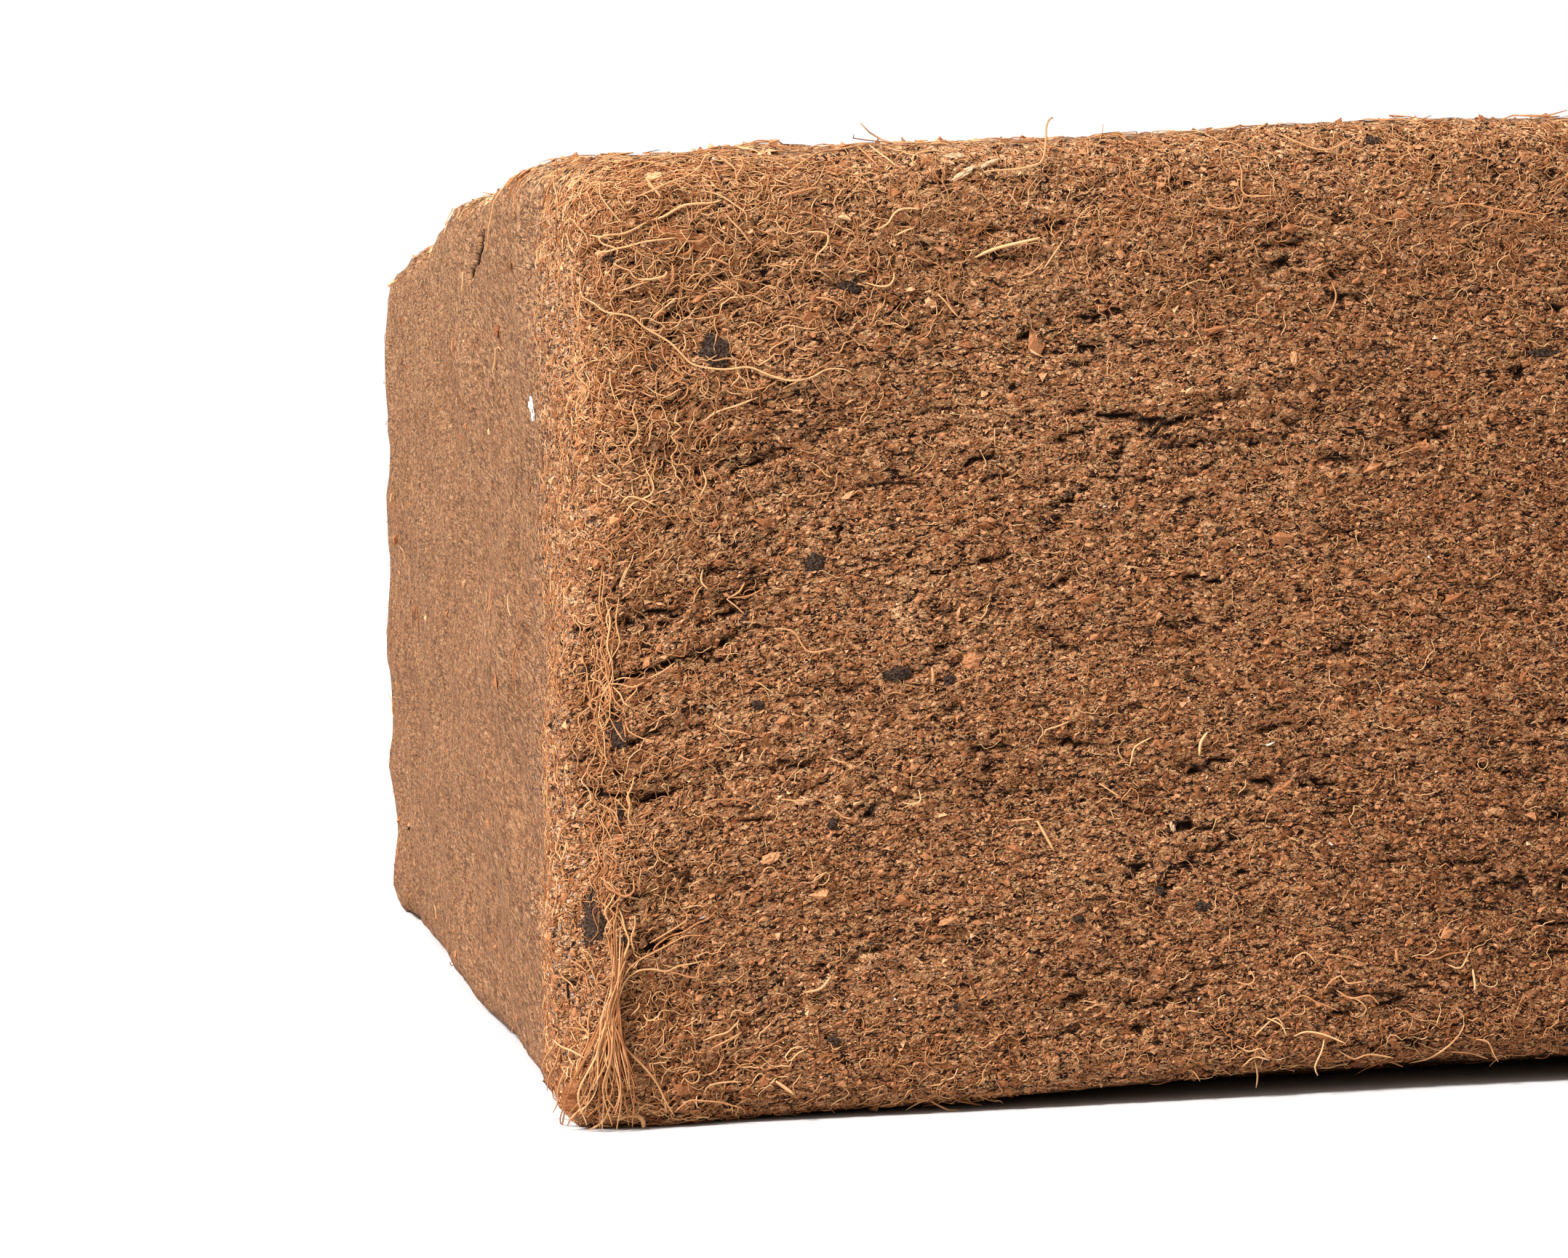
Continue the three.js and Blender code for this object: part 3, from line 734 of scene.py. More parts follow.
def far_crumb_weight(place, normal):
    broken = 1.0 * (np.abs(normal[:, 1]) > 0.5)
    rubbed = 0.02 * (np.abs(normal[:, 0]) > 0.5)
    top = 0.5 * (normal[:, 2] > 0.5)
    return (broken + rubbed + top) * (1 - np.minimum(near_crumb_weight(place, normal), 1))


draw = np.random.default_rng(11)
crumbs_fine = crumb_piece("crumbs_fine", [
    crumb_shapes(draw, 40000, near_crumb_weight, 0.25, shape=GRAIN_CORNERS, palest=1.0),
], GRAIN_FACES)
draw = np.random.default_rng(12)
crumbs_coarse = crumb_piece("crumbs_coarse", [
    crumb_shapes(draw, 9000, near_crumb_weight, 0.34, palest=0.85),
    crumb_shapes(draw, 600, near_crumb_weight, 0.6, stray=0.15, sink=(-0.35, 0.0), palest=0.6),
    crumb_shapes(draw, 300, low_edge_weight, 0.5, sink=(-0.3, 0.1), palest=0.4),
])
draw = np.random.default_rng(13)
crumbs_far = crumb_piece("crumbs_far", [crumb_shapes(draw, 8500, far_crumb_weight, 0.55)])

# %% [markdown]
# ### Husk chips
# Larger bits of husk stand out by their colour: black or dark ones, a few bleached ones, and a rusty one
# here and there. One lump is modelled from an icosphere with its vertices pushed about, and copied for each
# chip. A chip is placed where the camera sees it in the photograph, and lies flat on the crust.

# %% Chips read from the photograph: pixel, half width and height in millimetres, lean in degrees, tone
BLACK, BLEACHED = 0.005, 0.997
HUSK_CHIPS = [
    ((984, 484), (1.7, 2.1), 20, BLACK), ((1172, 394), (1.6, 0.8), 0, BLACK),
    ((814, 1241), (1.3, 2.0), 0, BLACK), ((816, 1276), (1.5, 2.6), -10, BLACK),
    ((858, 1296), (0.4, 0.8), 0, BLACK), ((1147, 1431), (0.9, 0.5), -20, BLACK),
    ((1315, 1384), (0.5, 0.5), 40, BLACK), ((1233, 927), (1.9, 0.8), 5, BLACK),
    ((1306, 936), (0.8, 0.7), 0, BLACK), ((1336, 909), (1.2, 1.1), 10, 0.6),
    ((1145, 1132), (0.6, 0.8), 0, BLACK), ((1595, 1225), (0.7, 0.6), 0, BLACK),
    ((1483, 1264), (0.7, 0.5), 0, BLACK), ((1654, 1246), (1.0, 0.7), 0, BLACK),
    ((1958, 614), (1.1, 0.5), -10, 0.7), ((1779, 493), (0.4, 0.9), 0, 0.97),
    ((1887, 194), (1.0, 0.7), 0, BLACK), ((1927, 296), (1.1, 0.7), 0, 0.4),
    ((2120, 485), (2.4, 0.5), 0, BLACK), ((1559, 285), (0.4, 0.25), 10, BLEACHED),
    ((1722, 315), (0.45, 0.3), 10, BLEACHED), ((1638, 204), (0.5, 0.2), 10, BLEACHED),
    ((1613, 1137), (0.35, 0.7), 20, BLEACHED), ((1311, 217), (1.5, 0.35), -5, BLEACHED),
    ((1325, 239), (1.7, 0.4), 30, BLEACHED), ((1362, 224), (1.4, 0.3), 20, BLEACHED),
    ((1274, 192), (0.9, 0.8), 0, 0.3), ((900, 243), (1.0, 1.1), 10, 0.62), ((866, 305), (0.7, 0.7), 0, 0.6),
    ((840, 356), (0.9, 0.5), -15, BLACK), ((850, 1010), (1.2, 1.6), 10, BLACK),
    ((832, 915), (0.8, 1.3), 5, 0.1), ((805, 925), (0.6, 0.8), 0, BLACK),
    ((828, 970), (1.0, 1.2), 0, BLACK), ((1043, 970), (0.8, 0.6), 0, BLACK),
    ((852, 1115), (0.5, 1.2), 0, BLACK), ((755, 1505), (0.9, 1.6), 5, 0.5),
    ((1060, 1180), (1.3, 0.6), 20, 0.9), ((750, 1462), (0.9, 1.3), -8, 0.2),
    ((759, 1488), (1.3, 1.5), 5, 0.15), ((764, 1512), (1.8, 1.3), -6, 0.3),
    ((772, 1532), (2.1, 1.2), 10, 0.2), ((786, 1546), (2.0, 0.8), 0, 0.3),
    ((768, 1498), (1.5, 0.9), 25, 0.4), ((778, 1540), (1.6, 0.8), -25, 0.45),
    ((684, 455), (2.2, 0.9), 0, 0.03), ((733, 562), (0.9, 1.7), 20, 1.0),
    ((926, 322), (2.4, 0.8), -12, 0.02), ((962, 333), (2.3, 1.0), -20, 0.03),
    ((994, 345), (1.4, 0.7), -25, 0.02), ((1119, 775), (1.3, 1.1), 30, BLACK),
    ((898, 506), (0.6, 0.5), 0, BLACK),
]
CHIP_THICKNESS = 0.40
CHIP_ROUGHNESS = 0.13

bpy.ops.mesh.primitive_ico_sphere_add(subdivisions=3, radius=1.0)
lump = bpy.context.object
bpy.ops.object.mode_set(mode="EDIT")
bpy.ops.transform.vertex_random(offset=0.16, uniform=0.5, seed=4)
bpy.ops.object.mode_set(mode="OBJECT")
lump_points = read(lump.data.vertices, "co")
lump_faces = np.array([tuple(face.vertices) for face in lump.data.polygons])
bpy.data.objects.remove(lump)


def cast_on_skin(pixels):
    """Where the camera's rays through pixels of the photograph meet the skin; None where they miss it."""
    start, aim = camera_rays(pixels)
    return [skin_tree.ray_cast(Vector(start), Vector(way)) for way in aim]


def chip_corners(draw, pixel, size, lean):
    """The points of one chip, flat on the skin under a pixel, or at its rim where the ray passes it by."""
    spot, normal, index, _ = cast_on_skin([pixel])[0]
    if spot is None:
        spot, _, index, _ = skin_tree.find_nearest(Vector(on_front_plane([pixel])[0]))
        normal = Vector((0, -1, 0))
    level, up = [way[0] for way in side_frame(np.array([normal]))]
    angle = math.radians(lean)
    along = math.cos(angle) * level + math.sin(angle) * up
    across = np.cross(normal, along)
    turn = Matrix.Rotation(draw.uniform(0, 6.3), 3, "Z")
    jagged = lump_points * (1 + CHIP_ROUGHNESS * draw.normal(size=(len(lump_points), 1)))
    rough = (jagged @ np.array(turn)) * (*size, CHIP_THICKNESS)
    spot = np.array(spot) + np.array(normal) * skin_relief[skin_corners[index]].mean()
    return spot + rough[:, :1] * along + rough[:, 1:2] * across + rough[:, 2:] * np.array(normal)


draw = np.random.default_rng(14)
chips = [chip_corners(draw, pixel, size, lean) for pixel, size, lean, _ in HUSK_CHIPS]
chip_faces = np.concatenate([lump_faces + len(lump_points) * number for number in range(len(chips))])
chip_tones = np.repeat([tone for *_, tone in HUSK_CHIPS], len(lump_points))
husk_chips = new_piece("husk_chips", np.concatenate(chips), chip_faces.tolist(), chip_tones)

# %% [markdown]
# ## Fibres
# A coir fibre is a pale springy hair, 0.1 to 0.4 mm thick and a few millimetres to a few centimetres long.
# It could be grown as particle hair, but the fibres here are kept as real mesh, so each one is a thin tube.
# A fibre walks over the skin: it takes a step, turns a little, and is laid back on the surface. Its height
# above the skin then swings gently, so it bridges the gaps between flakes, and some ends stand off.


# %% Walking over the skin
KINK = 0.25


def find_on_skin(points):
    """The nearest place of the bare skin to each point, its normal, and the height of the relief there."""
    hits = [skin_tree.find_nearest(Vector(point)) for point in points.tolist()]
    spot = np.array([hit[0] for hit in hits])
    normal = np.array([hit[1] for hit in hits])
    corners = skin_corners[[hit[2] for hit in hits]]
    closeness = 1 / (np.linalg.norm(skin_place[corners] - spot[:, None], axis=2) + 0.05)
    share = closeness / closeness.sum(axis=1, keepdims=True)
    return spot, normal, (skin_relief[corners] * share).sum(axis=1)


def walk(draw, place, heading, length, steps, curl):
    """Paths of steps + 1 places each, curling at random over the skin, their normals and the relief there."""
    count = len(place)
    stride = (length / steps)[:, None]
    bend = draw.normal(0.0, curl, count)
    path, normals, reliefs = [], [], []
    spot = place
    for _ in range(steps + 1):
        spot, normal, relief = find_on_skin(spot)
        path.append(spot)
        normals.append(normal)
        reliefs.append(relief)
        heading = unit(heading - (heading * normal).sum(axis=1, keepdims=True) * normal)
        bend = KINK * bend + draw.normal(0.0, curl, count)
        angle = (bend * stride[:, 0])[:, None]
        heading = np.cos(angle) * heading + np.sin(angle) * np.cross(normal, heading)
        spot = spot + heading * stride
    return np.stack(path, axis=1), np.stack(normals, axis=1), np.stack(reliefs, axis=1)


LIE, LIE_SPREAD = 0.18, (-0.1, 0.2)
SWING = 0.12
ROOT_DIVE, ROOT_SHARE = 0.5, 0.15
LOOSE_FROM = 0.35


def heights(draw, relief, loose, rise):
    """How high each place of each fibre is above the skin; loose is the share of ends that stand off."""
    count, rings = relief.shape
    around = np.pad(relief, ((0, 0), (1, 1)), mode="edge")
    highest = np.maximum(np.maximum(around[:, :-2], around[:, 1:-1]), around[:, 2:])
    around = np.pad(highest, ((0, 0), (1, 1)), mode="edge")
    level = (around[:, :-2] + around[:, 1:-1] + around[:, 2:]) / 3
    share = np.linspace(0, 1, rings)[None]
    wave = np.sin(share * draw.uniform(2, 9, (count, 1)) + draw.uniform(0, 6.3, (count, 1)))
    free = draw.random((count, 1)) < loose
    off = np.clip((share - LOOSE_FROM) / (1 - LOOSE_FROM), 0, 1) ** 2
    lift = draw.gamma(2.0, rise / 2, (count, 1)) * off
    dive = ROOT_DIVE * np.clip(1 - share / ROOT_SHARE, 0, 1)
    return level + LIE + draw.uniform(*LIE_SPREAD, (count, 1)) + SWING * wave + free * lift - dive


# %% Tubes from paths
def tube_mesh(path, normal, radius, sides):
    """Closed tubes: one ring round each place of each path, and a cap at both ends."""
    count, rings = path.shape[:2]
    forward = unit(np.gradient(path, axis=1))
    side = unit(np.cross(forward, normal))
    out = np.cross(side, forward)
    angles = math.pi / 2 + np.arange(sides) * 2 * math.pi / sides
    ring = [math.cos(angle) * side + math.sin(angle) * out for angle in angles]
    points = np.stack([path + radius[:, :, None] * way for way in ring], axis=2)
    first = np.arange(count)[:, None, None] * rings * sides
    ring_start = first + np.arange(rings - 1)[None, :, None] * sides
    s = np.arange(sides)[None, None]
    t = (s + 1) % sides
    walls = np.stack([ring_start + s, ring_start + t, ring_start + sides + t, ring_start + sides + s], -1)
    start_cap = first[:, 0] + np.arange(sides)[None, ::-1]
    end_cap = first[:, 0] + (rings - 1) * sides + np.arange(sides)[None]
    return points.reshape(-1, 3), walls.reshape(-1, 4), np.concatenate([start_cap, end_cap])


def fibre_piece(name, bundles, sides=3):
    """One joined mesh from several bundles of (path, normal, radius, tone)."""
    points, faces, tones = [], [], []
    offset = 0
    for path, normal, radius, tone in bundles:
        tube_points, walls, caps = tube_mesh(path, normal, radius, sides)
        points.append(tube_points)
        faces.extend((walls + offset).tolist())
        faces.extend((caps + offset).tolist())
        tones.append(np.repeat(tone, path.shape[1] * sides))
        offset += len(tube_points)
    piece = new_piece(name, np.concatenate(points), faces, np.concatenate(tones))
    take(piece)
    bpy.ops.object.shade_smooth()
    return piece


LENGTH_SPREAD = 0.45
THICKNESS_SPREAD = (0.65, 1.25)
TONE_SPREAD = 0.28
TAPER = 0.55


def grow(draw, count, weight, spread, length, radius, steps, curl, pale=0.5, loose=0.12, rise=1.2):
    """A bundle of fibres; spread is how far they stray, in radians, from the usual way on each face."""
    place, normal = draw_places(draw, count, weight)
    level, up = side_frame(normal)
    turn = fibre_angle(place, normal) + draw.normal(0.0, spread, count) + math.pi * (draw.random(count) < 0.5)
    heading = np.cos(turn)[:, None] * level + np.sin(turn)[:, None] * up
    lengths = length * draw.lognormal(0.0, LENGTH_SPREAD, count)
    path, normals, relief = walk(draw, place, heading, lengths, steps, curl)
    path = path + normals * heights(draw, relief, loose, rise)[:, :, None]
    taper = 1 - TAPER * np.abs(np.linspace(-1, 1, steps + 1)) ** 3
    thickness = radius * draw.uniform(*THICKNESS_SPREAD, (count, 1)) * taper[None]
    tone = np.clip(draw.normal(pale, TONE_SPREAD, count), 0, 1)
    return path, normals, thickness, tone


# %% [markdown]
# ### Where the fibres lie
# Sparse and curly in the middle of a face, dense and level along its top and bottom edges, and dense and
# upright down the corners. On the rubbed ends most run up and down, and on the top they lie every way.


# %% Densities and directions
def patchy(place, size):
    """A gentle uneven weight from 0.3 to 1.7, the same each run."""
    wave = np.sin(place @ np.array([1.0, 0.7, 2.3]) / size)
    cross_wave = np.sin(place @ np.array([-0.6, 1.1, 1.7]) / size + 1.3)
    return 1 + 0.7 * (wave * cross_wave)


def middle_weight(place, normal):
    return near_front_weight(place, normal) * patchy(place, 9.0)


def edge_weight(place, normal):
    x, z = place[:, 0] - LEFT, place[:, 2]
    edges = 2.5 * bump(z, 114, 16) + 1.8 * bump(z, 3, 14) + 0.5 * bump(x, 8, 14)
    return on_near_front(place, normal) * edges * patchy(place, 9.0)


def top_edge_weight(place, normal):
    return on_near_front(place, normal) * bump(place[:, 2], 112, 20) * patchy(place, 7.0)


def tangle_weight(place, normal):
    x, z = place[:, 0] - LEFT, place[:, 2]
    foot = 0.35 * bump(x, 12, 30) * bump(z, 4, 16)
    return on_near_front(place, normal) * (bump(x, 14, 34) * bump(z, 108, 30) + foot + 0.05 * bump(x, 4, 12))


def corner_weight(place, normal):
    near = (place[:, 0] < LEFT + 12) & (place[:, 1] < FRONT + 30)
    return near * (bump(place[:, 0] - LEFT, 4, 12) + 0.25 * bump(place[:, 1] - FRONT, 0, 16))


def front_corner_weight(place, normal):
    return on_near_front(place, normal) * bump(place[:, 0] - LEFT, 10, 16) * patchy(place, 9.0)


def end_weight(place, normal):
    return (normal[:, 0] < -0.5) * (0.4 + 0.6 * np.exp(-(place[:, 1] - FRONT) / 60)) * patchy(place, 11.0)


def far_weight(place, normal):
    x, y, z = place.T
    from_side = np.minimum(np.minimum(x - LEFT, RIGHT - x), np.minimum(y - FRONT, BACK - y))
    from_top = TOP - z
    on_top = normal[:, 2] > 0.6
    edge = np.where(on_top, bump(from_side, 0, 14), bump(from_top, 0, 12) + bump(z, 2, 12))
    corner_gap = np.minimum(x - LEFT, RIGHT - x) + np.minimum(y - FRONT, BACK - y)
    upright = bump(corner_gap, 0, 16) * ~on_top
    shown = (normal[:, 2] > -0.5) & ~on_near_front(place, normal)
    rubbed = np.where(np.abs(normal[:, 0]) > 0.4, 0.03, 1.0)
    return shown * rubbed * (0.8 + 1.8 * edge + 1.5 * upright) * patchy(place, 14.0)


def fibre_angle(place, normal):
    """Level along the layers on the broken sides, upright on the rubbed ends and down the corners."""
    x, y, _ = place.T
    corner_gap = np.minimum(x - LEFT, RIGHT - x) + np.minimum(y - FRONT, BACK - y)
    upright = (np.abs(normal[:, 0]) > 0.7) | (corner_gap < 9)
    on_top = normal[:, 2] > 0.6
    layers = np.where((normal[:, 1] < -0.7) & (place[:, 0] < 0), layer_slope(place), 0.0)
    return np.where(on_top, 0.0, np.where(upright, math.pi / 2, layers))


# %% Grow them
draw = np.random.default_rng(31)
fibres_front = fibre_piece("fibres_front", [
    grow(draw, 1500, middle_weight, 1.0, 1.8, 0.065, 6, 1.8, pale=0.48, loose=0.06, rise=0.6),
    grow(draw, 300, middle_weight, 0.8, 3.4, 0.08, 10, 1.2, pale=0.6, loose=0.06, rise=0.6),
    grow(draw, 1150, edge_weight, 0.7, 4.0, 0.075, 10, 1.0, pale=0.4, rise=0.8),
    grow(draw, 640, tangle_weight, 0.7, 4.6, 0.10, 12, 0.85, pale=0.6, rise=1.0),
])
draw = np.random.default_rng(32)
fibres_corner = fibre_piece("fibres_corner", [
    grow(draw, 1400, corner_weight, 0.8, 2.2, 0.07, 8, 1.5, pale=0.4, loose=0.06, rise=0.5),
    grow(draw, 700, front_corner_weight, 0.8, 3.0, 0.075, 10, 1.4, pale=0.5, loose=0.1, rise=0.6),
    grow(draw, 900, top_edge_weight, 0.5, 3.6, 0.06, 8, 1.3, pale=0.45, loose=0.06, rise=0.5),
    grow(draw, 250, end_weight, 0.9, 1.6, 0.05, 4, 0.8, pale=0.2, loose=0.1, rise=0.3),
])
draw = np.random.default_rng(33)
fibres_far = fibre_piece("fibres_far", [
    grow(draw, 3000, far_weight, 0.9, 6.0, 0.12, 5, 0.45, pale=0.4, loose=0.04, rise=0.8),
])

# %% [markdown]
# ### Fibres that catch the eye
# The tangle at the top corner, the bands and the broom that hang down the near edge to the floor, the sprig
# on the top and some hooks and loops stand out. Each is a few pixels read from the photograph. The camera's
# ray through a pixel meets the front plane where the fibre lies, a smooth curve is drawn through those
# places, and it is laid on the crust. Places that are well off the skin stay where they are, so loose ends
# poke out of the corner.

# %% Pixels to places
PIXEL_STEP = 6.0
BRIDGE = 4


def smooth_curve(points):
    """A Catmull-Rom curve through pixels, in steps of about half a millimetre on the bale."""
    points = np.array(points, dtype=float)
    padded = np.concatenate([[2 * points[0] - points[1]], points, [2 * points[-1] - points[-2]]])
    pieces = []
    for a, b, c, d in zip(padded, padded[1:], padded[2:], padded[3:]):
        steps = max(2, round(np.linalg.norm(c - b) / PIXEL_STEP))
        t = np.linspace(0, 1, steps, endpoint=False)[:, None]
        pieces.append(b + 0.5 * t * (c - a + t * (2 * a - 5 * b + 4 * c - d + t * (3 * (b - c) + d - a))))
    return np.concatenate([*pieces, points[-1:]])


def running(values, reach, how):
    """Each value becomes the greatest, or the mean, of those up to reach places away."""
    padded = np.pad(values, reach, mode="edge")
    return how([padded[i:i + len(values)] for i in range(2 * reach + 1)], axis=0)


def laid_fibre(draw, radius, pixels, height=0.25, pale=0.6):
    """A bundle of one fibre that follows pixels of the photograph and lies at a height over the crust."""
    curve = smooth_curve(pixels)
    start, aim = camera_rays(curve)
    distance = np.full(len(curve), np.nan)
    for number, (spot, normal, index, away) in enumerate(cast_on_skin(curve)):
        if spot is not None:
            distance[number] = away - skin_relief[skin_corners[index]].max()
    met = np.flatnonzero(~np.isnan(distance))
    distance = np.interp(np.arange(len(curve)), met, distance[met])
    distance = running(-running(-distance, BRIDGE, np.max), BRIDGE, np.mean) - height
    path = start + aim * distance[:, None]
    path[:, 2] = np.maximum(path[:, 2], 1.2 * radius)
    taper = 1 - 0.5 * np.abs(np.linspace(-1, 1, len(path))) ** 4
    tone = np.clip(draw.normal(pale, 0.20, 1), 0, 1)
    return path[None], np.tile([0.0, -1.0, 0.0], (1, len(path), 1)), (radius * taper)[None], tone


